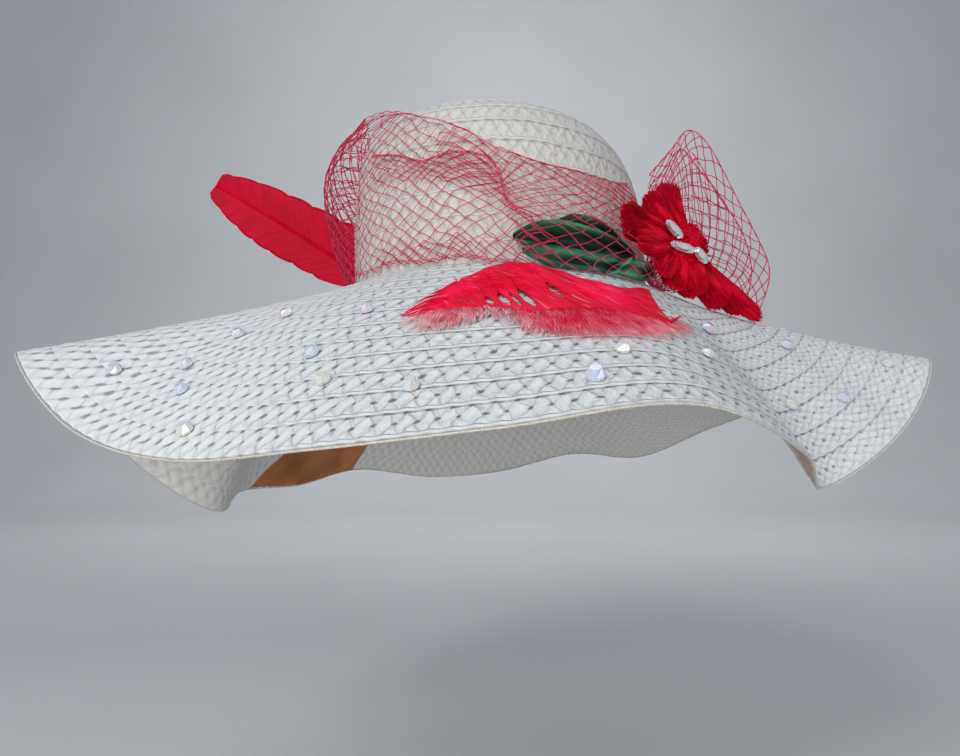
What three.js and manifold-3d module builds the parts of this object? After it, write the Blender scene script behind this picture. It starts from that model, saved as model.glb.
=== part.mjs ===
import * as THREE from "three";
import { mergeVertices } from "three/addons/utils/BufferGeometryUtils.js";
import Module from "manifold-3d";

// A wide-brimmed floppy hat of sewn straw braid, trimmed with netting, feathers, leaves and stones.
// Millimetres and degrees. The origin is the middle of the head opening, where a head fills it.
// +Z is the crown's axis, -Y the front and +X the wearer's left, which is the right seen from the front.
// An azimuth is an angle round the crown's oval: 0 is +X, -90 the front, 90 the back, 180 is -X.
// A standoff is a distance outside the crown, a share goes from 0 at the crown to 1 at the brim's edge.

// Driving dimensions of the straw body.
const headHalfWidth = 83;
const headHalfDepth = 99;
const strawThickness = 2.2;
const crownHeight = 97;
const crownRoundness = 4;
const crownLean = -8;
const crownHem = 3;
const crownLevels = 9;
const crownSides = 48;
const brimGap = 0.35;
const brimSides = 72;
const brimBands = 7;
const slopePower = 0.8;
const profileSteps = 24;
const bindingRadius = 0.8;

// How far trims stay off what they lie on, and the thickness of thin ones.
const clearance = 0.55;
const netThickness = 0.9;
const netStandoff = 1.1;
const clothThickness = 1.2;

// The brim's waves: slope down at the crown and at the edge, and length along the straw.
const brimWaves = [
  { azimuth: -180, root: 18, edge: 35, length: 166 },
  { azimuth: -165, root: 17, edge: 18, length: 164 },
  { azimuth: -150, root: 18, edge: 14, length: 161 },
  { azimuth: -135, root: 20, edge: 38, length: 157 },
  { azimuth: -120, root: 21, edge: 47, length: 154 },
  { azimuth: -105, root: 23, edge: 44, length: 150 },
  { azimuth: -90, root: 24, edge: 39, length: 147 },
  { azimuth: -75, root: 25, edge: 33, length: 145 },
  { azimuth: -60, root: 24, edge: 48, length: 143 },
  { azimuth: -45, root: 24, edge: 65, length: 141 },
  { azimuth: -30, root: 23, edge: 40, length: 141 },
  { azimuth: -15, root: 23, edge: 12, length: 142 },
  { azimuth: 0, root: 23, edge: 61, length: 144 },
  { azimuth: 15, root: 24, edge: 52, length: 146 },
  { azimuth: 30, root: 25, edge: 22, length: 149 },
  { azimuth: 45, root: 27, edge: 26, length: 152 },
  { azimuth: 60, root: 28, edge: 42, length: 155 },
  { azimuth: 75, root: 29, edge: 39, length: 156 },
  { azimuth: 90, root: 29, edge: 51, length: 157 },
  { azimuth: 105, root: 28, edge: 54, length: 160 },
  { azimuth: 120, root: 26, edge: 48, length: 164 },
  { azimuth: 135, root: 24, edge: 57, length: 168 },
  { azimuth: 150, root: 21, edge: 61, length: 169 },
  { azimuth: 165, root: 19, edge: 74, length: 168 },
];

const radians = THREE.MathUtils.degToRad;
const mix = THREE.MathUtils.lerp;

// Value of one column between rows that are evenly spaced, with a smooth curve through the rows.
function smoothColumn(rows, column, place, closed) {
  const at = (i) => {
    const last = rows.length - 1;
    const index = closed ? (i + rows.length) % rows.length : Math.min(Math.max(i, 0), last);
    return rows[index][column];
  };
  const i = Math.floor(place);
  const t = place - i;
  const slopeStart = (at(i + 1) - at(i - 1)) / 2;
  const slopeEnd = (at(i + 2) - at(i)) / 2;
  const a = 2 * (at(i) - at(i + 1)) + slopeStart + slopeEnd;
  const b = 3 * (at(i + 1) - at(i)) - 2 * slopeStart - slopeEnd;
  return ((a * t + b) * t + slopeStart) * t + at(i);
}

function waveAt(azimuth) {
  const step = 360 / brimWaves.length;
  const place = ((((azimuth + 180) % 360) + 360) % 360) / step;
  return {
    root: radians(smoothColumn(brimWaves, "root", place, true)),
    edge: radians(smoothColumn(brimWaves, "edge", place, true)),
    length: smoothColumn(brimWaves, "length", place, true),
  };
}

// Direction straight out of the crown's oval.
function outward(azimuth) {
  const angle = radians(azimuth);
  return new THREE.Vector3(
    Math.cos(angle) / headHalfWidth, Math.sin(angle) / headHalfDepth, 0).normalize();
}

// Point on the brim, at a share of its length and a height over its upper side.
function onBrim(azimuth, share, height) {
  const wave = waveAt(azimuth);
  const step = share / profileSteps;
  let reach = 0;
  let drop = 0;
  for (let i = 0; i < profileSteps; i++) {
    const slope = mix(wave.root, wave.edge, ((i + 0.5) * step) ** slopePower);
    reach += Math.cos(slope) * step * wave.length;
    drop += Math.sin(slope) * step * wave.length;
  }
  const slope = mix(wave.root, wave.edge, share ** slopePower);
  const out = brimGap + Math.max(reach + height * Math.sin(slope), 0);
  const angle = radians(azimuth);
  return new THREE.Vector3(headHalfWidth * Math.cos(angle), headHalfDepth * Math.sin(angle), 0)
    .addScaledVector(outward(azimuth), out)
    .add(new THREE.Vector3(0, 0, height * Math.cos(slope) - drop));
}

// The crown's size at a height, as a share of its size at the base.
function crownShare(z, standoff) {
  const rise = Math.min(Math.max(z, 0) / (crownHeight + standoff), 1);
  return (1 - rise ** crownRoundness) ** (1 / crownRoundness);
}

function leanAt(z) {
  return crownLean * (Math.max(z, 0) / crownHeight) ** 2;
}

// Point beside the crown, at a height and a standoff.
function onCrown(azimuth, z, standoff) {
  const share = crownShare(z, standoff);
  const angle = radians(azimuth);
  return new THREE.Vector3(
    (headHalfWidth + standoff) * share * Math.cos(angle) + leanAt(z),
    (headHalfDepth + standoff) * share * Math.sin(angle),
    z);
}

// Turns a mesh's faces outward and wraps it in a geometry.
function finishGeometry(points, triangles) {
  const volume = triangles.reduce((sum, [a, b, c]) => {
    const cross = new THREE.Vector3().crossVectors(points[b], points[c]);
    return sum + points[a].dot(cross);
  }, 0);
  const order = volume < 0 ? triangles.map(([a, b, c]) => [a, c, b]) : triangles;
  const geometry = new THREE.BufferGeometry();
  const positions = points.flatMap((p) => [p.x, p.y, p.z]);
  geometry.setAttribute("position", new THREE.Float32BufferAttribute(positions, 3));
  geometry.setIndex(order.flat());
  geometry.computeVertexNormals();
  return geometry;
}

function centreOf(ring) {
  return ring.reduce((sum, p) => sum.add(p), new THREE.Vector3()).divideScalar(ring.length);
}

// Closed solid through rings of points. It closes on itself, or each end is capped.
function solidThroughRings(rings, closed) {
  const count = rings[0].length;
  const points = rings.flat();
  const triangles = [];
  const spans = closed ? rings.length : rings.length - 1;
  for (let i = 0; i < spans; i++) {
    const here = i * count;
    const next = ((i + 1) % rings.length) * count;
    for (let j = 0; j < count; j++) {
      const k = (j + 1) % count;
      triangles.push([here + j, here + k, next + k], [here + j, next + k, next + j]);
    }
  }
  if (!closed) {
    const last = (rings.length - 1) * count;
    const first = points.push(centreOf(rings[0])) - 1;
    const end = points.push(centreOf(rings[rings.length - 1])) - 1;
    for (let j = 0; j < count; j++) {
      const k = (j + 1) % count;
      triangles.push([first, k, j], [end, last + j, last + k]);
    }
  }
  return finishGeometry(points, triangles);
}

function spread(count, from, to) {
  return Array.from({ length: count }, (_, i) => mix(from, to, i / (count - 1)));
}

// Crown: inner rings from the top down to the hem, then outer rings back up.
function crownGeometry() {
  const ringAt = (angle, inset, z) => spread(crownSides + 1, 0, 360).slice(0, -1).map((azimuth) => {
    const turn = radians(azimuth);
    const share = Math.sin(angle) ** (2 / crownRoundness);
    return new THREE.Vector3(
      (headHalfWidth - inset) * share * Math.cos(turn) + leanAt(z),
      (headHalfDepth - inset) * share * Math.sin(turn),
      z);
  });
  const levels = spread(crownLevels, 0.06, Math.PI / 2);
  const side = (inset) => levels.map((angle) => {
    const rise = Math.max(Math.cos(angle), 0) ** (2 / crownRoundness);
    return ringAt(angle, inset, (crownHeight - inset) * rise);
  });
  const inner = [...side(strawThickness), ringAt(Math.PI / 2, strawThickness, -crownHem)];
  const outer = [...side(0), ringAt(Math.PI / 2, 0, -crownHem)];
  return solidThroughRings([...inner, ...outer.reverse()], false);
}

// Brim: one closed section of straw for each azimuth, joined all the way round.
function brimGeometry() {
  const shares = spread(brimBands + 1, 0, 1);
  const sections = spread(brimSides + 1, -180, 180).slice(0, -1).map((azimuth) => [
    ...shares.map((share) => onBrim(azimuth, share, 0)),
    ...[...shares].reverse().map((share) => onBrim(azimuth, share, -strawThickness)),
  ]);
  return solidThroughRings(sections, true);
}

// Cord bound along the brim's edge.
function bindingGeometry() {
  const sides = 5;
  const sections = spread(brimSides + 1, -180, 180).slice(0, -1).map((azimuth) => {
    const upper = onBrim(azimuth, 1, 0);
    const lower = onBrim(azimuth, 1, -strawThickness);
    const up = upper.clone().sub(lower).normalize();
    const along = upper.clone().sub(onBrim(azimuth, 0.98, 0)).normalize();
    const centre = upper.clone().lerp(lower, 0.5).addScaledVector(along, bindingRadius + 0.4);
    return spread(sides + 1, 0, 2 * Math.PI).slice(0, -1).map((turn) => centre.clone()
      .addScaledVector(along, bindingRadius * Math.cos(turn))
      .addScaledVector(up, bindingRadius * Math.sin(turn)));
  });
  return solidThroughRings(sections, true);
}

// Netting: a thin sheet with a diamond gap cut in each cell. The place function gives the point
// at a column, a row and a height over the sheet's inner side.
function nettingGeometry(columns, rows, place) {
  const points = [];
  const triangles = [];
  const corner = (layer, i, j) => layer * (columns + 1) * (rows + 1) + j * (columns + 1) + i;
  for (const height of [0, netThickness]) {
    for (let j = 0; j <= rows; j++) {
      for (let i = 0; i <= columns; i++) points.push(place(i / columns, j / rows, height));
    }
  }
  const strand = 0.16;
  const diamond = [[0.5, strand], [1 - strand, 0.5], [0.5, 1 - strand], [strand, 0.5]];
  for (let j = 0; j < rows; j++) {
    for (let i = 0; i < columns; i++) {
      const first = points.length;
      for (const height of [0, netThickness]) {
        for (const [u, v] of diamond) points.push(place((i + u) / columns, (j + v) / rows, height));
      }
      for (const layer of [0, 1]) {
        const outer = [corner(layer, i, j), corner(layer, i + 1, j),
          corner(layer, i + 1, j + 1), corner(layer, i, j + 1)];
        const hole = [0, 1, 2, 3].map((k) => first + 4 * layer + k);
        for (let k = 0; k < 4; k++) {
          const next = (k + 1) % 4;
          const pair = [[outer[k], outer[next], hole[k]], [hole[k], outer[next], hole[next]]];
          triangles.push(...pair.map(([a, b, c]) => (layer ? [a, b, c] : [a, c, b])));
        }
      }
      for (let k = 0; k < 4; k++) {
        const next = (k + 1) % 4;
        const [a, b] = [first + k, first + next];
        triangles.push([a, b + 4, b], [a, a + 4, b + 4]);
      }
    }
  }
  const rim = (i, j, p, q) => {
    const [a, b] = [corner(0, i, j), corner(0, p, q)];
    const [c, d] = [corner(1, i, j), corner(1, p, q)];
    triangles.push([a, b, d], [a, d, c]);
  };
  for (let i = 0; i < columns; i++) {
    rim(i, 0, i + 1, 0);
    rim(i + 1, rows, i, rows);
  }
  for (let j = 0; j < rows; j++) {
    rim(columns, j, columns, j + 1);
    rim(0, j + 1, 0, j);
  }
  return finishGeometry(points, triangles);
}

// Netting over the crown's front: the height of its upper edge, and where its lower edge lies.
const wrapRows = [
  { azimuth: -150, top: 89, bottom: 1, foot: netStandoff },
  { azimuth: -133, top: 86, bottom: 1, foot: netStandoff },
  { azimuth: -116, top: 78, bottom: 1, foot: netStandoff },
  { azimuth: -99, top: 64, bottom: 1, foot: 2 },
  { azimuth: -82, top: 50, bottom: -6, foot: 17 },
  { azimuth: -65, top: 46, bottom: -9, foot: 23 },
  { azimuth: -48, top: 46, bottom: -8, foot: 21 },
  { azimuth: -35.3, top: 50, bottom: -6, foot: 17 },
];

const netFall = 1.3;

function wrapGeometry() {
  const columns = 16;
  const rows = 5;
  return nettingGeometry(columns, rows, (u, v, height) => {
    const place = u * (wrapRows.length - 1);
    const column = (name) => smoothColumn(wrapRows, name, place, false);
    const z = mix(column("bottom"), column("top"), v);
    const shoulder = 1.6 * (Math.max(z, 0) / crownHeight) ** 3;
    const standoff = mix(column("foot"), netStandoff, v ** netFall) + shoulder;
    return onCrown(column("azimuth"), z, standoff + height);
  });
}

// Netting loop on the left: how far its middle reaches at each height, evenly spaced.
const puffRows = [
  { reach: 86 }, { reach: 92 }, { reach: 97 }, { reach: 101 }, { reach: 101 }, { reach: 93 }, { reach: 78 },
];
const puffFront = -151.5;
const puffBack = -205;
const puffSideTop = 74;
const puffTop = 107;
const puffStandoff = 2;
const puffFoot = -0.1;

function puffGeometry() {
  return nettingGeometry(5, 4, (u, v, height) => {
    const azimuth = mix(puffFront, puffBack, u);
    const bulge = Math.sin(Math.PI * u);
    const z = mix(puffFoot, mix(puffSideTop, puffTop, bulge), v);
    const wall = crownShare(Math.min(z, puffSideTop), 0) + puffStandoff / headHalfWidth;
    const reach = smoothColumn(puffRows, "reach", v * (puffRows.length - 1), false);
    const size = mix(wall, reach / headHalfWidth, bulge) + height / headHalfWidth;
    return new THREE.Vector3(
      headHalfWidth * size * Math.cos(radians(azimuth)) + leanAt(z) * (1 - bulge),
      headHalfDepth * size * Math.sin(radians(azimuth)),
      z);
  });
}

// Netting fan on the right: the tips of its ribs, in the upright plane that it stands in.
const fanAzimuth = -21.5;
const fanDepth = -36;
const fanRuffle = 2.5;
const fanTips = [
  { x: 81, z: 62 }, { x: 93, z: 76 }, { x: 102, z: 86 }, { x: 113, z: 77 },
  { x: 127, z: 52 }, { x: 137, z: 30 }, { x: 143, z: 8 }, { x: 138, z: -12 },
];

function fanGeometry() {
  const wall = onCrown(fanAzimuth, 4, 0.8);
  const foot = onBrim(fanAzimuth, 0.03, clearance + 0.2);
  return nettingGeometry(5, 4, (u, v, height) => {
    const place = u * (fanTips.length - 1);
    const x = mix(mix(wall.x, foot.x, u), smoothColumn(fanTips, "x", place, false), v);
    const z = mix(mix(wall.z, foot.z, u), smoothColumn(fanTips, "z", place, false), v);
    const y = mix(wall.y, fanDepth, v) + fanRuffle * v * Math.sin(4 * Math.PI * u);
    return new THREE.Vector3(x, y - height, z);
  });
}

// Thin curved leaf or vane between two long edges, one row at each station. A row's edge is a
// function that gives a point at a height, and the middle arches up by the row's arch.
function vaneGeometry(stations, thickness) {
  const across = [0, 0.25, 0.5, 0.75, 1];
  const rings = stations.map(({ low, high, arch }) => {
    const point = (t, lift) => {
      const rise = lift + arch * Math.sin(Math.PI * t);
      return low(rise).lerp(high(rise), t);
    };
    const upper = across.map((t) => point(t, thickness));
    const lower = [...across].reverse().map((t) => point(t, 0));
    return [...upper, ...lower];
  });
  return solidThroughRings(rings, false);
}

// Feather on the front of the brim, from its tip on the left to its quill under the tuft.
const frontFeather = [
  { azimuth: -106, high: 0.41, low: 0.44, lift: 0, arch: 0.2 },
  { azimuth: -101, high: 0.29, low: 0.45, lift: 2, arch: 1.2 },
  { azimuth: -95, high: 0.22, low: 0.45, lift: 4, arch: 2.2 },
  { azimuth: -88, high: 0.18, low: 0.47, lift: 6, arch: 2.8 },
  { azimuth: -80, high: 0.19, low: 0.48, lift: 6, arch: 2.8 },
  { azimuth: -72, high: 0.23, low: 0.48, lift: 5, arch: 2.4 },
  { azimuth: -64, high: 0.26, low: 0.47, lift: 4, arch: 1.6 },
  { azimuth: -56, high: 0.26, low: 0.4, lift: 3, arch: 1 },
  { azimuth: -51, high: 0.3, low: 0.33, lift: 2, arch: 0.2 },
];

function frontFeatherGeometry() {
  return vaneGeometry(frontFeather.map(({ azimuth, high, low, lift, arch }) => ({
    low: (height) => onBrim(azimuth, low, clearance + height),
    high: (height) => onBrim(azimuth, high, clearance + lift + height),
    arch,
  })), clothThickness);
}

// Down below the front feather: a strip that lies on the brim, with locks along its outer edge.
function downGeometry() {
  const locks = 13;
  const thickness = 1.6;
  const stations = spread(2 * locks + 1, -99, -58);
  const rings = stations.map((azimuth, i) => {
    const middle = Math.sin(Math.PI * (i + 1) / (stations.length + 1));
    const reach = 0.53 + (i % 2 ? 0.17 : 0.09) * middle ** 0.7;
    const root = 0.495;
    return [
      onBrim(azimuth, root, clearance), onBrim(azimuth, root, clearance + thickness),
      onBrim(azimuth, mix(root, reach, 0.6), clearance + thickness), onBrim(azimuth, reach, clearance + 0.5),
      onBrim(azimuth, reach, clearance), onBrim(azimuth, mix(root, reach, 0.6), clearance),
    ];
  });
  return solidThroughRings(rings, false);
}

// Feather that stands out to the left behind the netting loop, in a nearly upright plane.
const leftFeatherRoot = { azimuth: 149.5, z: 6, standoff: 1.1 };
const leftFeatherTip = { x: -183, z: 86 };
const leftFeatherDepth = 50;
const leftFeatherBow = 9;
const leftFeather = [
  { along: 0, above: 1, below: 1 },
  { along: 0.12, above: 14, below: 4 },
  { along: 0.28, above: 26, below: 9 },
  { along: 0.45, above: 27, below: 13 },
  { along: 0.62, above: 25, below: 14 },
  { along: 0.78, above: 21, below: 13 },
  { along: 0.9, above: 14, below: 11 },
  { along: 0.97, above: 7, below: 7 },
  { along: 1, above: 2, below: 2 },
];

function leftFeatherGeometry() {
  const start = onCrown(leftFeatherRoot.azimuth, leftFeatherRoot.z, leftFeatherRoot.standoff);
  const tip = new THREE.Vector3(leftFeatherTip.x, leftFeatherDepth, leftFeatherTip.z);
  const direction = tip.clone().sub(start).normalize();
  const across = new THREE.Vector3(-direction.z, 0, direction.x).normalize();
  if (across.z < 0) across.negate();
  const face = new THREE.Vector3(0, -1, 0);
  return vaneGeometry(leftFeather.map(({ along, above, below }) => {
    const bow = leftFeatherBow * Math.sin(Math.PI * along);
    const centre = start.clone().lerp(tip, along).addScaledVector(across, -bow);
    const edge = (side) => (height) => centre.clone()
      .addScaledVector(across, side).addScaledVector(face, height);
    return { low: edge(-below), high: edge(above), arch: 0.12 * above };
  }), clothThickness);
}

// Satin leaves on the crown's front right: where the lower and the upper edge lie.
const leaves = {
  leaf_back: [
    { azimuth: -74, out: 0.4, bottom: 16, top: 19, arch: 0.3 },
    { azimuth: -66, out: 0.5, bottom: 14, top: 27, arch: 1 },
    { azimuth: -58, out: 0.6, bottom: 12, top: 27, arch: 1.2 },
    { azimuth: -50, out: 0.5, bottom: 12, top: 24, arch: 1 },
    { azimuth: -43, out: 0.4, bottom: 14, top: 17, arch: 0.3 },
  ],
  leaf_upper: [
    { azimuth: -86, out: 3.6, bottom: 9, top: 12, arch: 0.3 },
    { azimuth: -80, out: 3.6, bottom: 5.5, top: 17, arch: 1.6 },
    { azimuth: -72, out: 3.7, bottom: 4, top: 19, arch: 2.4 },
    { azimuth: -63, out: 3.8, bottom: 3.5, top: 17.5, arch: 2.6 },
    { azimuth: -54, out: 3.8, bottom: 4, top: 16.5, arch: 2.4 },
    { azimuth: -46, out: 3.7, bottom: 5, top: 15, arch: 1.6 },
    { azimuth: -39, out: 3.6, bottom: 8, top: 11, arch: 0.3 },
  ],
  leaf_lower: [
    { azimuth: -84, out: 11.5, bottom: 1, top: 4, arch: 0.2 },
    { azimuth: -77, out: 12, bottom: -4.4, top: 5, arch: 1.2 },
    { azimuth: -69, out: 13, bottom: -5.4, top: 4, arch: 1.6 },
    { azimuth: -60, out: 13.5, bottom: -5.6, top: 2.6, arch: 1.4 },
    { azimuth: -52, out: 13.5, bottom: -5.6, top: 3.4, arch: 1.6 },
    { azimuth: -44, out: 13, bottom: -5.2, top: 4.5, arch: 1.2 },
    { azimuth: -36, out: 12, bottom: 0, top: 3, arch: 0.2 },
  ],
};

function leafGeometry(rows) {
  return vaneGeometry(rows.map(({ azimuth, out, bottom, top, arch }) => ({
    low: (height) => onCrown(azimuth, bottom, out + height),
    high: (height) => onCrown(azimuth, top, out + height),
    arch,
  })), clothThickness);
}

// Tuft of fluffy feathers: a head with tapered locks joined to it.
const tuftHead = { x: 91.6, y: -61.5, z: 14, width: 14, depth: 9, height: 15 };
const tuftLocks = [
  { x: 87, y: -56, z: 51, width: 8 },
  { x: 78, y: -63, z: 45, width: 7 },
  { x: 60, y: -87, z: 36, width: 6 },
  { x: 60, y: -88, z: 28, width: 6 },
  { x: 68, y: -85, z: 20, width: 6 },
  { x: 76, y: -79, z: 4, width: 5 },
  { x: 86, y: -74, z: -5, width: 7 },
  { x: 97, y: -70, z: -7, width: 7 },
  { x: 108, y: -58, z: 20, width: 6 },
  { x: 105, y: -56, z: 33, width: 6 },
  { x: 113, y: -61, z: -9, width: 7 },
  { x: 124, y: -57, z: -11, width: 6 },
  { x: 133, y: -56, z: -18, width: 5 },
];
const lockFlatness = 0.5;

function lockGeometry(head, tip, width) {
  const direction = tip.clone().sub(head);
  const side = new THREE.Vector3().crossVectors(direction, new THREE.Vector3(0, 1, 0)).normalize();
  const front = new THREE.Vector3().crossVectors(side, direction).normalize();
  const sides = 6;
  const rows = [
    { along: 0, size: 0.8 }, { along: 0.35, size: 1 }, { along: 0.7, size: 0.85 }, { along: 1, size: 0.15 },
  ];
  return solidThroughRings(rows.map(({ along, size }) => {
    const centre = head.clone().addScaledVector(direction, along);
    return spread(sides + 1, 0, 2 * Math.PI).slice(0, -1).map((turn) => centre.clone()
      .addScaledVector(side, width * size * Math.cos(turn) / 2)
      .addScaledVector(front, lockFlatness * width * size * Math.sin(turn) / 2));
  }), false);
}

const manifold = await Module();
manifold.setup();

function toSolid(geometry) {
  const bare = geometry.clone();
  bare.deleteAttribute("normal");
  bare.deleteAttribute("uv");
  const merged = mergeVertices(bare);
  return new manifold.Manifold(new manifold.Mesh({
    numProp: 3,
    vertProperties: new Float32Array(merged.attributes.position.array),
    triVerts: new Uint32Array(merged.index.array),
  }));
}

function fromSolid(solid) {
  const { vertProperties, triVerts } = solid.getMesh();
  const geometry = new THREE.BufferGeometry();
  geometry.setAttribute("position", new THREE.BufferAttribute(new Float32Array(vertProperties), 3));
  geometry.setIndex(Array.from(triVerts));
  geometry.computeVertexNormals();
  return geometry;
}

function tuftGeometry() {
  const centre = new THREE.Vector3(tuftHead.x, tuftHead.y, tuftHead.z);
  const ball = new THREE.SphereGeometry(1, 12, 8)
    .scale(tuftHead.width, tuftHead.depth, tuftHead.height)
    .translate(centre.x, centre.y, centre.z);
  const locks = tuftLocks.map(({ x, y, z, width }) =>
    toSolid(lockGeometry(centre, new THREE.Vector3(x, y, z), width)));
  return fromSolid(locks.reduce((solid, lock) => solid.add(lock), toSolid(ball)));
}

// Cut stone: flat back, straight girdle, main facets and a table. It faces +Z on its back.
function stoneGeometry(length, width, height, sides) {
  const outline = (size, z) => spread(sides + 1, 0, 2 * Math.PI).slice(0, -1).map((turn) =>
    new THREE.Vector3(size * length * Math.cos(turn) / 2, size * width * Math.sin(turn) / 2, z));
  const rings = [outline(0.92, 0), outline(1, 0.36 * height)];
  const table = spread(sides + 1, 0, 2 * Math.PI).slice(0, -1).map((turn) => {
    const shifted = turn + Math.PI / sides;
    return new THREE.Vector3(
      0.56 * length * Math.cos(shifted) / 2, 0.56 * width * Math.sin(shifted) / 2, height);
  });
  return solidThroughRings([...rings, table], false);
}

const materials = {
  straw: new THREE.MeshStandardMaterial({ color: 0xece8e0, roughness: 0.8 }),
  binding: new THREE.MeshStandardMaterial({ color: 0xb08f68, roughness: 0.8 }),
  net: new THREE.MeshStandardMaterial({ color: 0xc4183c, roughness: 0.6 }),
  feather: new THREE.MeshStandardMaterial({ color: 0xc8102e, roughness: 0.5 }),
  leaf: new THREE.MeshStandardMaterial({ color: 0x1f4a3a, roughness: 0.4 }),
  crystal: new THREE.MeshStandardMaterial({ color: 0xdfe8f5, roughness: 0.05 }),
  silver: new THREE.MeshStandardMaterial({ color: 0xe8e8ec, roughness: 0.08, metalness: 0.3 }),
};

const hat = new THREE.Group();
function addPiece(name, geometry, material) {
  const mesh = new THREE.Mesh(geometry, material);
  mesh.name = name;
  hat.add(mesh);
  return mesh;
}

addPiece("crown", crownGeometry(), materials.straw);
const brim = addPiece("brim", brimGeometry(), materials.straw);
addPiece("edge_binding", bindingGeometry(), materials.binding);
addPiece("veil_wrap", wrapGeometry(), materials.net);
addPiece("veil_puff", puffGeometry(), materials.net);
addPiece("veil_fan", fanGeometry(), materials.net);
addPiece("feather_left", leftFeatherGeometry(), materials.feather);
addPiece("feather_front", frontFeatherGeometry(), materials.feather);
addPiece("feather_down", downGeometry(), materials.feather);
const tuft = addPiece("feather_tuft", tuftGeometry(), materials.feather);
for (const [name, rows] of Object.entries(leaves)) {
  addPiece(name, leafGeometry(rows), materials.leaf);
}

// Pointed silver stones on the tuft's front: middle seen from the front, and tilt from level.
const gems = [
  { x: 86, z: 22, tilt: -50, length: 12 },
  { x: 90, z: 13, tilt: -20, length: 13 },
  { x: 99, z: 9, tilt: -55, length: 10 },
];
const gemWidth = 5;
const gemHeight = 2.6;

const stoneSeat = 0.35;

// Lowers a posed stone onto a mesh along its own axis, until its back is the seat's width away.
function seatStone(stone, length, width, carrier) {
  const up = new THREE.Vector3(0, 0, 1).applyQuaternion(stone.quaternion);
  const start = 60;
  const drop = (turn, size) => {
    const spot = new THREE.Vector3(
      size * length * Math.cos(turn) / 2, size * width * Math.sin(turn) / 2, start);
    const from = spot.applyQuaternion(stone.quaternion).add(stone.position);
    const [hit] = new THREE.Raycaster(from, up.clone().negate()).intersectObject(carrier);
    return hit ? hit.distance : 2 * start;
  };
  const turns = spread(25, 0, 2 * Math.PI);
  const nearest = Math.min(...[0, 0.5, 1].flatMap((size) => turns.map((turn) => drop(turn, size))));
  stone.position.addScaledVector(up, start - nearest + stoneSeat);
}

tuft.updateMatrixWorld();
gems.forEach(({ x, z, tilt, length }, i) => {
  const gem = addPiece(`gem_${i + 1}`, stoneGeometry(length, gemWidth, gemHeight, 10), materials.silver);
  const lie = new THREE.Quaternion().setFromAxisAngle(new THREE.Vector3(1, 0, 0), Math.PI / 2);
  const turn = new THREE.Quaternion().setFromAxisAngle(new THREE.Vector3(0, 1, 0), -radians(tilt));
  gem.quaternion.copy(turn.multiply(lie));
  gem.position.set(x, tuftHead.y, z);
  seatStone(gem, length, gemWidth, tuft);
});

// Stones scattered on the brim: place and size.
const beads = [
  { azimuth: -158, share: 0.88, size: 6 }, { azimuth: -140, share: 0.82, size: 6.5 },
  { azimuth: -133, share: 0.7, size: 6 }, { azimuth: -128, share: 0.79, size: 6 },
  { azimuth: -121, share: 0.92, size: 6.5 }, { azimuth: -133, share: 0.53, size: 6 },
  { azimuth: -130, share: 0.4, size: 5.5 }, { azimuth: -113, share: 0.64, size: 6.5 },
  { azimuth: -108, share: 0.77, size: 6 }, { azimuth: -111, share: 0.42, size: 6 },
  { azimuth: -98, share: 0.83, size: 6.5 }, { azimuth: -82, share: 0.88, size: 7 },
  { azimuth: -78, share: 0.76, size: 6 }, { azimuth: -47, share: 0.41, size: 6 },
  { azimuth: -64, share: 0.67, size: 5 }, { azimuth: -29, share: 0.56, size: 6 },
  { azimuth: -42, share: 0.74, size: 6 }, { azimuth: -33, share: 0.81, size: 6.5 },
  { azimuth: -22, share: 0.87, size: 6 }, { azimuth: -14, share: 0.52, size: 5 },
  { azimuth: 8, share: 0.72, size: 6 }, { azimuth: 24, share: 0.5, size: 6 },
  { azimuth: 39, share: 0.8, size: 6 }, { azimuth: 58, share: 0.45, size: 6 },
  { azimuth: 72, share: 0.75, size: 6.5 }, { azimuth: 90, share: 0.55, size: 6 },
  { azimuth: 106, share: 0.84, size: 6 }, { azimuth: 122, share: 0.4, size: 6 },
  { azimuth: 138, share: 0.68, size: 6 }, { azimuth: 155, share: 0.5, size: 6 },
  { azimuth: 176, share: 0.66, size: 6 },
];
const beadHeightShare = 0.5;

beads.forEach(({ azimuth, share, size }, i) => {
  const round = onBrim(azimuth + 1, share, 0).sub(onBrim(azimuth - 1, share, 0));
  const out = onBrim(azimuth, share + 0.01, 0).sub(onBrim(azimuth, share - 0.01, 0));
  const up = new THREE.Vector3().crossVectors(out, round).normalize();
  const name = `bead_${String(i + 1).padStart(2, "0")}`;
  const bead = addPiece(name, stoneGeometry(size, size, beadHeightShare * size, 8), materials.crystal);
  bead.position.copy(onBrim(azimuth, share, 0));
  bead.quaternion.setFromUnitVectors(new THREE.Vector3(0, 0, 1), up);
  seatStone(bead, size, size, brim);
});

export default hat;
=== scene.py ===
"""A wide floppy hat of sewn straw braid with netting, feathers, satin leaves and cut stones.

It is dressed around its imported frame. Sizes here are millimetres and degrees, and are turned into
metres where a mesh is made. An azimuth is an angle round the crown's oval: 0 is +X, -90 the front.
A share goes from 0 at the crown to 1 at the brim's edge. A standoff is a distance off the crown.
"""
import math

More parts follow.
